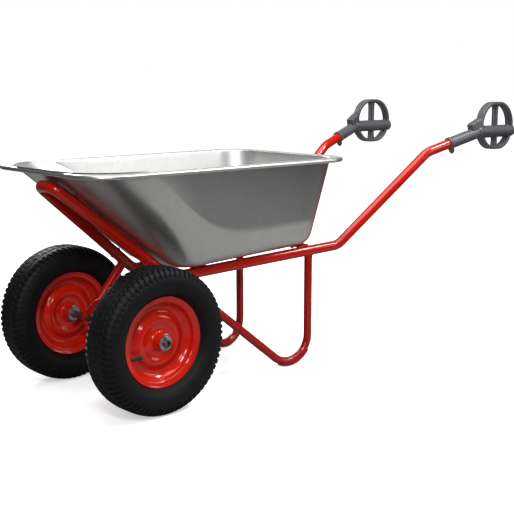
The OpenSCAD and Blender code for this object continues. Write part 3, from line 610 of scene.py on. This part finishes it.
CORNER_STEPS = 24
SIDE_STEPS = 30
WALL_STEPS = (9, 9, 16)
BLEND_STEPS = 12
LIP_STEPS = 8
BEAD_STEPS = 20
BEAD_FROM, BEAD_TO = 90, -135
CLIMB_SHARE = 0.3
SIDE_SHARES = np.concatenate([np.linspace(0, CLIMB_SHARE, SIDE_STEPS)[1:],
                              np.linspace(CLIMB_SHARE, 1, SIDE_STEPS)[1:-1]])
PANEL_LOW, PANEL_HIGH, PANEL_STEP = 0.29, 0.96, 0.05
PANEL_KNEE, PANEL_POWER = 0.147, 2.6
PANEL_NOSE, PANEL_TAIL, PANEL_SHADE_RAMP = 0.2, 0.08, 0.22
LIP = 0.0175
LIP_OUT = 0.3
BAR_STACK = TUBE_R + WELD_GAP + FLAT_T
FLOOR_LIFT = BAR_STACK / math.cos(RAIL_RISE * DEG)
SLOPE_LIFT = BAR_STACK / math.cos(FRONT_RISE * DEG)
FLOOR_FRONT_X = FRONT_BEND_X + (SLOPE_LIFT - FLOOR_LIFT) / (tan(RAIL_RISE) + tan(FRONT_RISE))

# Each point of an outline: its place along the tray's side, and its share of the panel's painted shade
CORNER_SHARES = np.zeros(CORNER_STEPS + 1)
HALF_PLACES = np.concatenate([CORNER_SHARES, SIDE_SHARES, CORNER_SHARES + 1])
PLACES = np.concatenate([HALF_PLACES, HALF_PLACES[::-1]])
# Painted shade on the panels' outside: none round the nose, rising along the side, fading round the tail
HALF_SHADE_SPAN = np.concatenate([CORNER_SHARES, smooth(SIDE_SHARES / PANEL_SHADE_RAMP),
                            np.linspace(1, 0, CORNER_STEPS + 1)])
PANEL_SHADE_SPAN = np.concatenate([HALF_SHADE_SPAN, HALF_SHADE_SPAN[::-1]])


def slope_x(z):
    """Place of the tray's front face at a height: it leans as the front slope of the frame does."""
    return FRONT_BEND_X + (rail_at(FRONT_BEND_X) + SLOPE_LIFT - z) / tan(FRONT_RISE)


def outline(front, back, front_half, back_half, front_r, back_r):
    """Rounded trapezium in plan: quarter circle at the nose, left side, quarter circle at the tail, and the
    mirror image back to the nose."""
    a = np.linspace(0, math.pi / 2, CORNER_STEPS + 1)
    nose = np.stack([front + front_r - front_r * np.cos(a),
                     front_r - front_half - front_r * np.sin(a)], axis=1)
    tail = np.stack([back - back_r + back_r * np.sin(a), back_r - back_half - back_r * np.cos(a)], axis=1)
    side = nose[-1] + (tail[0] - nose[-1]) * SIDE_SHARES[:, None]
    half = np.concatenate([nose, side, tail])
    return np.concatenate([half, half[::-1] * [1, -1]])


def rim_outline(inset):
    """Outline of the tray's edge, drawn in by inset."""
    r = RIM_CORNER_R - inset
    half = RIM_HALF - inset
    return outline(inset - RIM_FRONT_X, RIM_BACK_X - inset, half, half, r, r)


def floor_outline(inset, front):
    """Outline of the tray's floor, drawn in by inset at the sides and tail and by front at the nose."""
    r = FLOOR_CORNER_R - inset
    return outline(FLOOR_FRONT_X + front, FLOOR_BACK_X - inset, FLOOR_FRONT_HALF - inset,
                   FLOOR_BACK_HALF - inset, r, r)


def at_height(plan, z):
    """Points of a plan at one height, or at one height each."""
    return np.concatenate([plan, np.broadcast_to(np.asarray(z, float), len(plan))[:, None]], axis=1)


def on_floor(plan, lift):
    """Points of a plan on the sloping floor, raised by lift."""
    return at_height(plan, rail_at(plan[:, 0]) + FLOOR_LIFT + lift)


def curve(a, b, c, s):
    """Quadratic blend from a to c, drawn to b: (1-s)^2 a + 2 s (1-s) b + s^2 c for every s."""
    s = np.asarray(s)[:, None, None]
    return (1 - s) ** 2 * a + 2 * s * (1 - s) * b + s ** 2 * c


def wall_rows(foot, front, sides, lift, flange_z):
    """Rows of one face of the sheet: floor edge, blend, wall with its pressed panel, lip and flange.

    The panel's lower edge lies at share low + (high - low) / (1 + (place / knee)^power) up the wall, which
    steps out there by PANEL_OUT and comes back to its own line at the lip. With the rows comes how far each
    point takes the panel's painted shade.
    """
    low = on_floor(floor_outline(sides, foot), lift)
    edge = on_floor(floor_outline(sides + FLOOR_BLEND, foot + FLOOR_BLEND), lift)
    half = RIM_HALF - BEAD_R - FLANGE_OUT - sides
    high = at_height(outline(slope_x(flange_z) + front, RIM_BACK_X - BEAD_R - FLANGE_OUT - sides, half,
                             half, NOSE_CORNER_R - sides, RIM_CORNER_R - sides), flange_z)
    rim = at_height(rim_outline(BEAD_R), flange_z)
    rise = high - low
    blend_end = FLOOR_BLEND / np.linalg.norm(rise, axis=1)
    climb = 1 + (PLACES / PANEL_KNEE) ** PANEL_POWER
    knee = PANEL_LOW + (PANEL_HIGH - PANEL_LOW) / climb
    stops = [blend_end, knee - PANEL_STEP, knee + PANEL_STEP, 1 - LIP]
    t = np.concatenate([a + (b - a) * np.linspace(0, 1, n)[1:, None]
                        for a, b, n in zip(stops[:-1], stops[1:], WALL_STEPS)])
    step = smooth((t - knee + PANEL_STEP) / (2 * PANEL_STEP))
    fade = np.clip((1 - LIP - t) / (1 - LIP - knee - PANEL_STEP), 0, 1)
    ends = smooth(PLACES / PANEL_NOSE) * smooth((1 - PLACES) / PANEL_TAIL)
    wall = low + rise * t[:, :, None]
    wall[:, :, 1] += np.sign(low[:, 1]) * PANEL_OUT * step * fade * ends
    foot_rows = curve(edge, low, low + rise * blend_end[:, None], np.linspace(0, 1, BLEND_STEPS))
    lip_rows = curve(high - rise * LIP, high, high + (rim - high) * LIP_OUT,
                     np.linspace(0, 1, LIP_STEPS)[1:])
    # Mask of the painted shade on the outside of the side panels
    panel = np.pad(step * PANEL_SHADE_SPAN, ((len(foot_rows), len(lip_rows) + 1), (0, 0)))
    return np.concatenate([foot_rows, wall, lip_rows, rim[None]]), panel


def bead_rows(r):
    """Rows round the rolled edge, from just past its top, down outside and back in underneath."""
    a = np.linspace(BEAD_FROM, BEAD_TO, BEAD_STEPS)[1:] * DEG
    return np.stack([at_height(rim_outline(BEAD_R - r * math.cos(k)), RIM_Z - BEAD_R + r * math.sin(k))
                     for k in a])


def tray_skin():
    """Both faces of the sheet as one closed surface, with the floor closed by strips from side to side.

    With it comes how far each point takes the painted shade on the outside of a pressed panel, and how far
    it belongs to the inside.
    """
    front_inset = SHEET / math.sin(FRONT_RISE * DEG)
    floor_inset = SHEET / math.cos(RAIL_RISE * DEG)
    foot = (front_inset - floor_inset / tan(FRONT_RISE)) / (1 + tan(RAIL_RISE) / tan(FRONT_RISE))
    outside, panel = wall_rows(0, 0, 0, 0, RIM_Z - SHEET)
    inside, _ = wall_rows(foot, front_inset, SHEET, floor_inset, RIM_Z)
    rows = np.concatenate([outside, bead_rows(BEAD_R - SHEET), bead_rows(BEAD_R)[::-1], inside[::-1]])
    skin = lay(rows, round_v=True)
    m, n = rows.shape[:2]
    left = np.arange(n // 2)
    strip = np.stack([left[:-1], left[1:], n - 1 - left[1:], n - 1 - left[:-1]], axis=1)
    quads = np.concatenate([skin.quads, strip, (strip + (m - 1) * n)[:, ::-1]])
    marks = {"panel": np.zeros(m * n, np.float32), "inside": np.zeros(m * n, np.float32)}
    marks["panel"][:panel.size] = panel.ravel()
    marks["inside"][m * n - inside[..., 0].size:] = 1
    return facing_out(Skin(skin.points, quads, NO_TRIS)), marks


tray, tray_marks = tray_skin()
sheet = put("tray_sheet", tray, TRAY_ZINC, "chassis", "zinc", ["tray"])
for label, mark in tray_marks.items():
    sheet.data.attributes.new(label, "FLOAT", "POINT").data.foreach_set("value", mark)


# Tube frame

top_corner = on_side(TOP_BEND_X, handle_at(TOP_BEND_X))
end_way = np.array([1, tan(END_SPLAY), tan(END_RISE)])
bar_start = top_corner + end_way * (RING_X - RING_L / 2 - TOP_BEND_X)
sleeve_along = unit(end_way)
sleeve_out = unit([-sleeve_along[1], sleeve_along[0], 0])
sleeve_axes = np.stack([sleeve_along, sleeve_out, np.cross(sleeve_along, sleeve_out)])

side_line = [on_side(BUTT_X, front_at(BUTT_X)), on_side(FRONT_BEND_X, rail_at(FRONT_BEND_X)),
             on_side(REAR_BEND_X, rail_at(REAR_BEND_X)), top_corner, bar_start - sleeve_along * RING_T]
slope_way = side_line[1] - side_line[0]
rail_way = side_line[2] - side_line[1]

other = np.array([1, -1, 1])
hairpin = on_side(-HAIRPIN_X, front_at(-HAIRPIN_X))
loop_line = [side_line[0], hairpin, hairpin * other, side_line[0] * other]

leg_slope = tan(LEG_RISE) / math.cos(SPLAY * DEG)
leg_corner_z = SKID_T + LEG_R + FOOT_BEND_R - FOOT_BEND_R * tan((90 + LEG_RISE) / 2)
leg_head_x = (leg_corner_z + LEG_X * leg_slope - RAIL_Z) / (tan(RAIL_RISE) + leg_slope)
leg_top, leg_corner = on_side(LEG_X, rail_at(LEG_X)), on_side(LEG_X, leg_corner_z)
leg_head = on_side(leg_head_x, rail_at(leg_head_x))

strut_foot = np.array([0, STRUT_Y, TYRE_R])
strut_head = on_side(STRUT_X, front_at(STRUT_X))
LUG_POWER, TUBE_POWER = 9, 2
LUG_TIP = 0.08

# Radius and height of a countersunk bolt: its end from the end's face, its head from the sheet's upper face
BOLT_END = np.array([[0.3, 0], [3.4, 0], [4, 0.7]])
BOLT_HEAD = np.array([[4, -4.8], [8.6, -0.2], [8.7, 0.2], [8.3, 0.4], [3.5, 0.4], [3.1, 0.1], [3, -2.4],
                      [0.3, -2.6]])


def strut_skin():
    """Tube flattened at its foot, with sections |u/a|^e + |v/b|^e = 1.

    Along it a, b and e go from the flat lug, whose end is a half circle, to the round tube.
    """
    length = np.linalg.norm(strut_head - strut_foot)
    w = np.concatenate([-STRUT_LUG_R * np.cos(np.linspace(LUG_TIP, math.pi / 2, 12)),
                        np.linspace(0, STRUT_LUG_L, 5)[1:],
                        STRUT_LUG_L + STRUT_NECK * np.linspace(0, 1, 18)[1:], [length]])
    s = smooth((w - STRUT_LUG_L) / STRUT_NECK)
    tip = np.sqrt(np.maximum(STRUT_LUG_R ** 2 - np.minimum(w, 0) ** 2, 0))
    a = np.where(w < 0, tip, STRUT_LUG_R) * (1 - s) + STRUT_R * s
    b = STRUT_LUG_HALF_T * (1 - s) + STRUT_R * s
    power = (2 / (LUG_POWER - (LUG_POWER - TUBE_POWER) * s))[:, None]
    turn = full_turn(48)
    cu, cv = np.cos(turn), np.sin(turn)
    u = a[:, None] * np.sign(cu) * np.abs(cu) ** power
    v = b[:, None] * np.sign(cv) * np.abs(cv) ** power
    along = unit(strut_head - strut_foot)
    across = unit(np.cross([0, 1, 0], along))
    side = np.cross(along, across)
    grid = strut_foot + w[:, None, None] * along + u[:, :, None] * across + v[:, :, None] * side
    return facing_out(capped(grid))


def side_welds():
    """Beads of one side: leg, diagonal and strut on the side tube, and the joint of the front loop."""
    rail = (side_line[1], rail_way, TUBE_R)
    slope = (side_line[0], slope_way, TUBE_R)
    return together(saddle_weld(leg_corner, leg_top, LEG_R, *rail),
                    saddle_weld(leg_corner, leg_head, LEG_R, *rail),
                    saddle_weld(strut_foot, strut_head, STRUT_R, *slope),
                    butt_weld(side_line[0], slope_way, TUBE_R))


def bar_frame(name):
    """Axes and foot of a flat bar across both tubes, tipped about Y with the tubes it lies on."""
    x = BAR_PLACES[name]
    sloped = name == "nose_strap"
    rise = -FRONT_RISE if sloped else RAIL_RISE
    c, s = math.cos(rise * DEG), math.sin(rise * DEG)
    axes = np.array([[c, 0, s], [0, 1, 0], [-s, 0, c]])
    return axes, np.array([x, 0, front_at(x) if sloped else rail_at(x)]) + axes[2] * (TUBE_R + WELD_GAP)


def flat_bar(name):
    """Flat bar with rounded edges that reaches a little past both tubes' middle lines."""
    half = on_side(BAR_PLACES[name], 0)[1] + FLAT_PAST
    bar = rounded_box([-FLAT_W / 2, -half, 0], [FLAT_W / 2, half, FLAT_T], FLAT_EDGE_R)
    return moved(bar, *bar_frame(name))


def floor_bolts():
    """Countersunk bolts turned about their axes, two in each flat bar, with a round socket in the head."""
    bolt = turned(np.concatenate([BOLT_END - [0, BOLT_BELOW], BOLT_HEAD + [0, FLAT_T + SHEET]]), 40)
    bolts = []
    for name, y in BOLT_PLACES.items():
        axes, foot = bar_frame(name)
        upright = np.stack([axes[0], axes[2], -axes[1]])
        bolts += [moved(bolt, upright, foot + axes[1] * side * y) for side in (-1, 1)]
    return together(*bolts)


# Name, surface, finish and replaced nodes of each piece of a side
SIDE_PIECES = (
    ("handle_tube", tube(side_line, [0, BEND_R, BEND_R, TOP_BEND_R, 0], TUBE_R), RED_PAINT, ["side_tube"]),
    ("leg_tube", tube([leg_top, leg_corner, leg_head], [0, FOOT_BEND_R, 0], LEG_R), LEG_SHADE_PAINT, ["leg"]),
    ("strut_tube", strut_skin(), RED_PAINT, ["axle_strut"]),
    ("welds", side_welds(), WELD_PAINT, []))
for hand, on_hand in HANDS.items():
    for label, skin, paint, nodes in SIDE_PIECES:
        put(f"{hand}_{label}", on_hand(skin), paint, "chassis", "red", [f"{hand}_{node}" for node in nodes])
loop_skin = tube(loop_line, [0, HAIRPIN_R, HAIRPIN_R, 0], TUBE_R)
put("front_loop_tube", loop_skin, RED_PAINT, "chassis", "red", ["front_loop"])
for bar in BAR_PLACES:
    put(bar + "_bar", flat_bar(bar), RED_PAINT, "chassis", "red", [bar])
put("tray_floor_bolts", floor_bolts(), ZINC, "chassis", "zinc", ["tray_bolts"])


# Wheels

LUG_PITCH = 2 * math.pi / LUGS
LUG_PHASES = np.array([0.0, 0.035, 0.2, 0.38, 0.545, 0.59, 0.7, 0.84, 0.965])
GROOVE_PHASES = [0, 0.035, 0.545, 0.59, 0.965, 1]
GROOVE_SHARES = [0.5, 0, 0, 1, 1, 0.5]
BEAD_FACE = RIM_W / 2 - FLANGE_INSET - RIM_SHEET - BEAD_FIT
SEAT_MID = SEAT_R - RIM_SHEET / 2
SEAT_END = SEAT_SHARE * RIM_W / 2

# Height, place and width of each sidewall rib
SIDEWALL_RIBS = ((0.9, 72.0, 1.3), (0.6, 88.0, 1.0), (0.9, 104.0, 1.6))

# Half sections of the tyre: shares of half its width and of its height over the flange, from the crown out
TREAD_SHARES = np.array([[0, 1], [0.57, 0.992], [0.83, 0.905], [0.945, 0.75], [1, 0.56], [1, 0.42],
                         [0.95, 0.27], [0.83, 0.13], [0.62, 0.055]])
CAVITY_SHARES = np.array([[0.42, 0.02], [0.66, 0.12], [0.86, 0.42], [0.86, 0.55], [0.8, 0.7], [0.6, 0.82],
                          [0, 0.835]])

# Radius and place of the tyre's bead, outside and inside
BEAD_OUTSIDE = np.array([[FLANGE_R - 0.5, BEAD_FACE + 1.2], [111, BEAD_FACE], [104.5, BEAD_FACE]])
BEAD_INSIDE = np.array([[103, 12.5], [110, 15]])

# Ridged disc of a rim: shares of the way from the collar to the trough, and of half the rim's width
DISC_SHARES = np.array([[0.86, 0], [0.78, 0.06], [0.68, 0.24], [0.6, 0.33], [0.52, 0.36], [0.44, 0.33],
                        [0.34, 0.22], [0.26, 0.19], [0.14, 0.19], [0.06, 0.24]])

# Radius and height of the valve's stem and of its round end, with a ridged cap between them
VALVE_STEM = np.array([[0.5, -16], [4.4, -16], [4.4, -4], [7.6, -3.4], [7.6, -1.6], [6.6, -1.5], [6.2, 3],
                       [4.6, 3], [4.3, 20], [5.2, 20.5]])
VALVE_END = np.array([[4.9, 32.6], [3.6, 33.4], [0.4, 33.8]])
CAP_FROM, CAP_TO = 21.0, 31.5
CAP_R, CAP_RIDGE, CAP_RIDGE_RATE = 5.3, 0.18, 4.5


def tyre_points(shares):
    """Radius and place of points given as shares of the tyre's half width and height."""
    return np.stack([FLANGE_R + shares[:, 1] * (TYRE_R - FLANGE_R), shares[:, 0] * TYRE_W / 2], axis=1)


def tyre_section():
    """Arc length s from the crown's middle, (radius, out) and outward normal along the tyre's outside.

    The section is the corner-cut outline, walked by s in steps that are finest across the lugs.
    """
    half = np.concatenate([tyre_points(TREAD_SHARES), BEAD_OUTSIDE])
    line = rounded_line(np.concatenate([half[:0:-1] * [1, -1], half]), 3)
    length = np.concatenate([[0], np.cumsum(np.linalg.norm(np.diff(line, axis=0), axis=1))])
    arc = length - length[-1] / 2
    fine = np.concatenate([np.linspace(0, CROWN_HALF, 15), np.linspace(CROWN_HALF, FINE_TO, 32)[1:],
                           np.linspace(FINE_TO, arc[-1], 22)[1:]])
    s = np.concatenate([-fine[:0:-1], fine])
    section = np.stack([np.interp(s, arc, line[:, 0]), np.interp(s, arc, line[:, 1])], axis=1)
    way = np.gradient(section, axis=0)
    normal = np.stack([way[:, 1], -way[:, 0]], axis=1) / np.linalg.norm(way, axis=1)[:, None]
    return s, section, normal


def tread_push(far, turn, phase):
    """How far a point is pushed out, at arc length far from the crown's middle: ribs less depth x groove.

    A lug groove is a pulse in the phase of its pitch times an envelope in far. Crown grooves zigzag, and
    shallow notches cross the rib between them.
    """
    groove = np.interp(phase, GROOVE_PHASES, GROOVE_SHARES)
    shoulder = smooth((far - LUG_FROM) / LUG_FROM_FADE) * smooth((LUG_TO - far) / LUG_TO_FADE)
    weave = CROWN_WEAVE * (2 * np.abs(((turn / (2 * LUG_PITCH)) % 1) * 2 - 1) - 1)
    crown = smooth((CROWN_GROOVE_HALF - np.abs(far - CROWN_GROOVE - weave)) / CROWN_GROOVE_FADE)
    notch = NOTCH_SHARE * groove * smooth((NOTCH_HALF - far) / NOTCH_FADE)
    ribs = sum(h * np.exp(-((far - at) / w) ** 2) for h, at, w in SIDEWALL_RIBS)
    return ribs - LUG_DEPTH * np.maximum(np.maximum(groove * shoulder, CROWN_GROOVE_SHARE * crown), notch)


def tyre_skin():
    """Tyre section turned about Y, with its tread pressed along the normals and the tube's hollow inside.

    Columns lean away from the crown's middle, so that they follow the skewed edges of the lugs.
    """
    s, section, normal = tyre_section()
    far = np.abs(s)
    turn = (np.arange(LUGS)[:, None] * LUG_PITCH + LUG_PHASES * LUG_PITCH).reshape(-1, 1)
    push = tread_push(far, turn, np.tile(LUG_PHASES, LUGS)[:, None])
    skew = LUG_SKEW * (far - SKEW_MIDDLE) / SKEW_REACH * smooth((far - CROWN_HALF) / SKEW_FADE)
    lean = np.sign(s) * LUG_PITCH * (LUG_LEAN * smooth(far / LUG_LEAN_FADE) + skew)
    half = np.concatenate([BEAD_INSIDE, tyre_points(CAVITY_SHARES)])
    hollow = np.concatenate([half, (half * [1, -1])[-2::-1]])
    outside = section + normal * push[:, :, None]
    inside = np.broadcast_to(hollow, (len(turn), *hollow.shape))
    r, out = np.moveaxis(np.concatenate([outside, inside], axis=1), 2, 0)
    angle = turn + np.concatenate([lean, np.zeros(len(hollow))])
    return facing_out(lay(np.stack([r * np.cos(angle), out, r * np.sin(angle)], axis=-1), True, True))


def rim_skin():
    """Half a rim: lip, flange, bead seat, slope, ridged disc and hub collar.

    It is an even strip about its middle line, turned about Y, with a round end at the lip.
    """
    h = RIM_SHEET / 2
    flange_y = RIM_W / 2 - FLANGE_INSET - h
    trough = SEAT_MID - SEAT_END + h
    collar = HUB_R + HUB_FIT + h
    collar_y = h + COLLAR_SHARE * (RIM_W / 2 - h)
    outer = [[FLANGE_R - h, RIM_W / 2 - h], [FLANGE_R - RIM_LIP, flange_y], [SEAT_MID + RIM_BEND, flange_y],
             [SEAT_MID, flange_y - RIM_BEND], [SEAT_MID, SEAT_END], [trough, h]]
    disc = np.stack([collar + DISC_SHARES[:, 0] * (trough - collar),
                     h + DISC_SHARES[:, 1] * RIM_W / 2], axis=1)
    inner = [[collar, collar_y - RIM_BEND], [collar, collar_y]]
    line = rounded_line(np.concatenate([outer, disc, inner]), 2)
    way = np.gradient(line, axis=0)
    normal = np.stack([-way[:, 1], way[:, 0]], axis=1) / np.linalg.norm(way, axis=1)[:, None]
    tip = unit(line[0] - line[1])
    a = np.linspace(-90, 90, 7)[1:-1, None] * DEG
    end = line[0] + h * (tip * np.cos(a) - normal[0] * np.sin(a))
    return turned(np.concatenate([line + normal * h, (line - normal * h)[::-1], end[::-1]]), 180)


def valve_skin():
    """Rubber stem with a foot, a ridged cap and a rounded end, turned about its own axis.

    The axis stands square to the middle of the rim's slope, which falls at 45 degrees.
    """
    z = np.linspace(CAP_FROM, CAP_TO, 22)
    cap = np.stack([CAP_R + CAP_RIDGE * np.cos(z * CAP_RIDGE_RATE), z], axis=1)
    stem = turned(np.concatenate([VALVE_STEM, cap, VALVE_END]), 28)
    h = RIM_SHEET / 2
    root_r, root_y = SEAT_MID - (SEAT_END - h) / 2, (h + SEAT_END) / 2
    c, s = math.cos(VALVE_TURN * DEG), math.sin(VALVE_TURN * DEG)
    radial, out = np.array([c, 0, s]), np.array([0, 1, 0])
    axis = (out - radial) / math.sqrt(2)
    square = (out + radial) / math.sqrt(2)
    return moved(stem, np.stack([square, axis, np.cross(square, axis)]), radial * root_r + out * root_y)


# Name, surface, finish, slot, replaced node and crease of each piece of a wheel
WHEEL_PIECES = (
    ("lugged_tyre", tyre_skin(), TYRE, "tyre_rubber", "tyre", 30),
    ("rim_dish", rim_skin(), RIM_LIT_PAINT, "red", "rim_outer", 38),
    ("rim_back", left_of(rim_skin()), RIM_LIT_PAINT, "red", "rim_inner", 38),
    ("valve_stem", valve_skin(), BLACK_CAP, "valve_brass", "valve", 38))
for hand, on_hand in HANDS.items():
    for label, skin, material, slot, node, crease in WHEEL_PIECES:
        placed = on_hand(moved(skin, at=(0, TRACK / 2, TYRE_R)))
        put(f"{hand}_{label}", placed, material, hand + "_wheel", slot, [f"{hand}_{node}"], crease)


# Grips

ELBOW_TURN = 88

# Place from the sleeve's end and radius of its collar
SLEEVE_COLLAR = np.array([[0, 18.2], [0.4, 19.4], [1.4, 20], [8, 20], [9.6, 19.6], [11, 18.9],
                          [14, SLEEVE_R]])


def level_bar():
    """Bar of radius R - crown u^2, with u from -1 to 1 along the ring, a round end and a ball elbow."""
    a = np.linspace(0, math.pi / 2, 8)[1:]
    run = np.linspace(0, RING_L + BAR_PAST - BAR_END_R, 40)
    x = np.concatenate([run, run[-1] + BAR_END_R * np.sin(a)])
    drop = np.concatenate([0 * run, BAR_END_R - BAR_END_R * np.cos(a)])
    bar = spun(x, GRIP_BAR_R - BAR_CROWN * ((x - RING_L / 2) / RING_L * 2) ** 2 - drop)
    b = np.linspace(-ELBOW_TURN, ELBOW_TURN, 30) * DEG
    return together(bar, spun(ELBOW_R * np.sin(b), ELBOW_R * np.cos(b)))


def ring_skin():
    """Oval band: two half circles set apart by straight runs, swept by a rounded rectangle."""
    steps = 85
    a = np.linspace(-90, 90, steps) * DEG
    a = np.concatenate([a, a + math.pi])[:, None]
    apart = np.repeat([1, -1], steps)[:, None] * (RING_L - RING_H) / 2
    turn, sign = corner_turns(5)
    r = RING_H / 2 - RING_T / 2 + sign[:, 0] * (RING_T / 2 - RING_EDGE_R) + RING_EDGE_R * np.cos(turn)
    y = sign[:, 1] * (RING_W / 2 - RING_EDGE_R) + RING_EDGE_R * np.sin(turn)
    return facing_out(lay(np.stack([apart + r * np.cos(a), y + 0 * a, r * np.sin(a)], axis=-1), True, True))


def ribbed_posts():
    """Web and rib up the ring's middle, both flared by exp(-d / reach) at a distance d from the ring."""
    top = RING_H / 2 - RING_T / 2
    z = np.linspace(-top, top, 60)
    flare = POST_FLARE * np.exp((np.abs(z) - top) / POST_FLARE_REACH)
    web = stacked(z, POST_W / 2 + flare, POST_T / 4 + 0 * z, WEB_EDGE_R + 0 * z)
    rib = stacked(z, POST_W * RIB_SHARE + flare / 2, POST_T / 2 + 0 * z, RIB_EDGE_R + 0 * z)
    return together(web, rib)


def sleeve_skin():
    """Sleeve with its collar, shoulder block cut down towards the tube, and tapered clamp lug, along X."""
    collar = np.concatenate([SLEEVE_COLLAR - [SLEEVE_L, 0], [[SLEEVE_PAST, SLEEVE_R]]])
    sleeve = spun(collar[:, 0], collar[:, 1])
    block = rounded_box([-BLOCK_L, -BLOCK_W / 2, 0], [BLOCK_IN, BLOCK_W / 2, BLOCK_TOP], BLOCK_EDGE_R, 6)
    x, _, z = block.points.T
    back = smooth((-BLOCK_L / 3 - x) / (BLOCK_L * 2 / 3))
    block.points[:, 2] -= BLOCK_CUT * (back * smooth((z - BLOCK_CUT_FROM) / BLOCK_CUT_FADE))
    lug = rounded_box([-CLAMP_L / 2, -CLAMP_W / 2, -SLEEVE_R - CLAMP_H],
                      [CLAMP_L / 2, CLAMP_W / 2, -CLAMP_IN], CLAMP_EDGE_R)
    lug.points[:, 0] *= 1 - CLAMP_TAPER * smooth((-SLEEVE_R - lug.points[:, 2]) / CLAMP_H)
    return together(sleeve, block, moved(lug, at=(CLAMP_L / 2 + CLAMP_SET - SLEEVE_L, 0, 0)))


def grip_skin():
    """Moulded grip from closed forms that run into each other: bar, ring and posts in the barrow's axes,
    and the sleeve with its block and lug along the tube."""
    upright = moved(together(ring_skin(), ribbed_posts()), at=(RING_L / 2, 0, RING_LIFT))
    return moved(together(level_bar(), upright, moved(sleeve_skin(), sleeve_axes)), at=bar_start)


grip = grip_skin()
for hand, on_hand in HANDS.items():
    put(hand + "_ring_grip", on_hand(grip), PLASTIC, "chassis", "grip_plastic", [hand + "_grip"])


# Stage, lights and camera, in metres

FLOOR_HALF = 40.0
WHITE = (1, 1, 1)
COOL = (0.95, 0.98, 1)
AZIMUTH, ELEVATION, DISTANCE, FOCAL_PX = -42.585, 10.387, 2.9401, 972.609
FRAME_PX, SENSOR = 514, 36.0
AIM_FROM_AXLE, AIM_Z = 0.537772, 0.308053

# Name, place, aim, size, power and tint of each light
LIGHTS = (
    ("top_box", (-0.2, -0.3, 3.2), (0, 0, 0.3), 2.8, 116, (0.97, 0.985, 1)),
    ("key_box", (-2.6, -2.2, 2.7), (0, 0, 0.4), 0.8, 52, WHITE),
    ("right_box", (1.1, -1.2, 2.3), (-0.2, 0, 0.4), 0.5, 32, WHITE),
    ("front_box", (-2.5, -1.7, 1.3), (-0.3, 0, 0.4), 0.5, 12, WHITE),
    ("glint_box", (-1.6, -2.6, 1.5), (-0.4, 0, 0.25), 0.4, 11, WHITE),
    ("back_box", (1.7, 2.4, 1.3), (-0.3, 0, 0.5), 2.0, 8, COOL),
    ("far_box", (0.2, 3.0, 2.0), (-0.1, 0, 0.3), 0.8, 65, WHITE),
    ("inside_box", (1.5, -1.8, 1.25), (-0.3, 0.2, 0.5), 1.0, 10.5, COOL))


def studio_floor():
    """Level floor that the camera sees pale and, with growing distance, white; other rays see it grey."""
    corners = [(x * FLOOR_HALF, y * FLOOR_HALF, 0) for x, y in ((-1, -1), (1, -1), (1, 1), (-1, 1))]
    mesh = bpy.data.meshes.new("studio_floor")
    mesh.from_pydata(corners, [], [(0, 1, 2, 3)])
    floor = linked("studio_floor", mesh)
    material, tree, shader = new_material("pale_floor")
    seen = add(tree, "ShaderNodeLightPath").outputs["Is Camera Ray"]
    place = add(tree, "ShaderNodeTexCoord").outputs["Object"]
    away = add(tree, "ShaderNodeVectorMath", {0: place}, operation="LENGTH").outputs["Value"]
    grey = ranged(tree, away, (0.27, 0.06), of=(0.8, 2.0))
    tone = add(tree, "ShaderNodeMix", {"Factor": seen, "A": grey}, data_type="RGBA",
               at={"B": (0.86, 0.86, 0.86, 1)})
    glow = ranged(tree, away, (0.5, 1.0), of=(0.7, 3.0))
    shown = add(tree, "ShaderNodeMath", {0: glow, 1: seen}, operation="MULTIPLY")
    tree.links.new(tone.outputs["Result"], shader.inputs["Base Color"])
    tree.links.new(shown.outputs[0], shader.inputs["Emission Strength"])
    fill(shader, {"Emission Color": (1, 1, 1, 1), "Roughness": 0.9, "Specular IOR Level": 0.0})
    mesh.materials.append(material)


def white_world():
    """Surroundings that the camera sees white and other rays see dim."""
    world = bpy.data.worlds.new("studio")
    world.use_nodes = True
    tree = world.node_tree
    seen = add(tree, "ShaderNodeLightPath").outputs["Is Camera Ray"]
    strength = add(tree, "ShaderNodeMix", {"Factor": seen}, at={"A": 0.11, "B": 1.0})
    tree.nodes["Background"].inputs["Color"].default_value = (1, 1, 1, 1)
    tree.links.new(strength.outputs["Result"], tree.nodes["Background"].inputs["Strength"])
    bpy.context.scene.world = world


def turned_to(place, aim):
    """Euler angles that turn -Z from place to aim, with Y up."""
    return (Vector(aim) - Vector(place)).to_track_quat("-Z", "Y").to_euler()


def soft_light(name, place, aim, size, power, tint):
    """Square area light at place, turned to aim, that the camera doesn't see."""
    lamp = bpy.data.lights.new(name, "AREA")
    lamp.size, lamp.energy, lamp.color = size, power, tint
    light = linked(name, lamp)
    light.location = place
    light.rotation_euler = turned_to(place, aim)
    light.visible_camera = False


def photo_camera():
    """Camera at aim + DISTANCE (sin az cos el, -cos az cos el, sin el), looking at aim."""
    aim = np.array([AIM_FROM_AXLE + AXLE_X * MM, 0, AIM_Z])
    level = math.cos(ELEVATION * DEG)
    away = np.array([math.sin(AZIMUTH * DEG) * level, -math.cos(AZIMUTH * DEG) * level,
                     math.sin(ELEVATION * DEG)])
    lens = bpy.data.cameras.new("photo_view")
    lens.sensor_width, lens.lens = SENSOR, FOCAL_PX * SENSOR / FRAME_PX
    camera = linked("photo_view", lens)
    camera.location = aim + away * DISTANCE
    camera.rotation_euler = turned_to(camera.location, aim)
    bpy.context.scene.camera = camera


studio_floor()
for light in LIGHTS:
    soft_light(*light)
white_world()
bpy.context.scene.view_settings.view_transform = "Standard"
photo_camera()
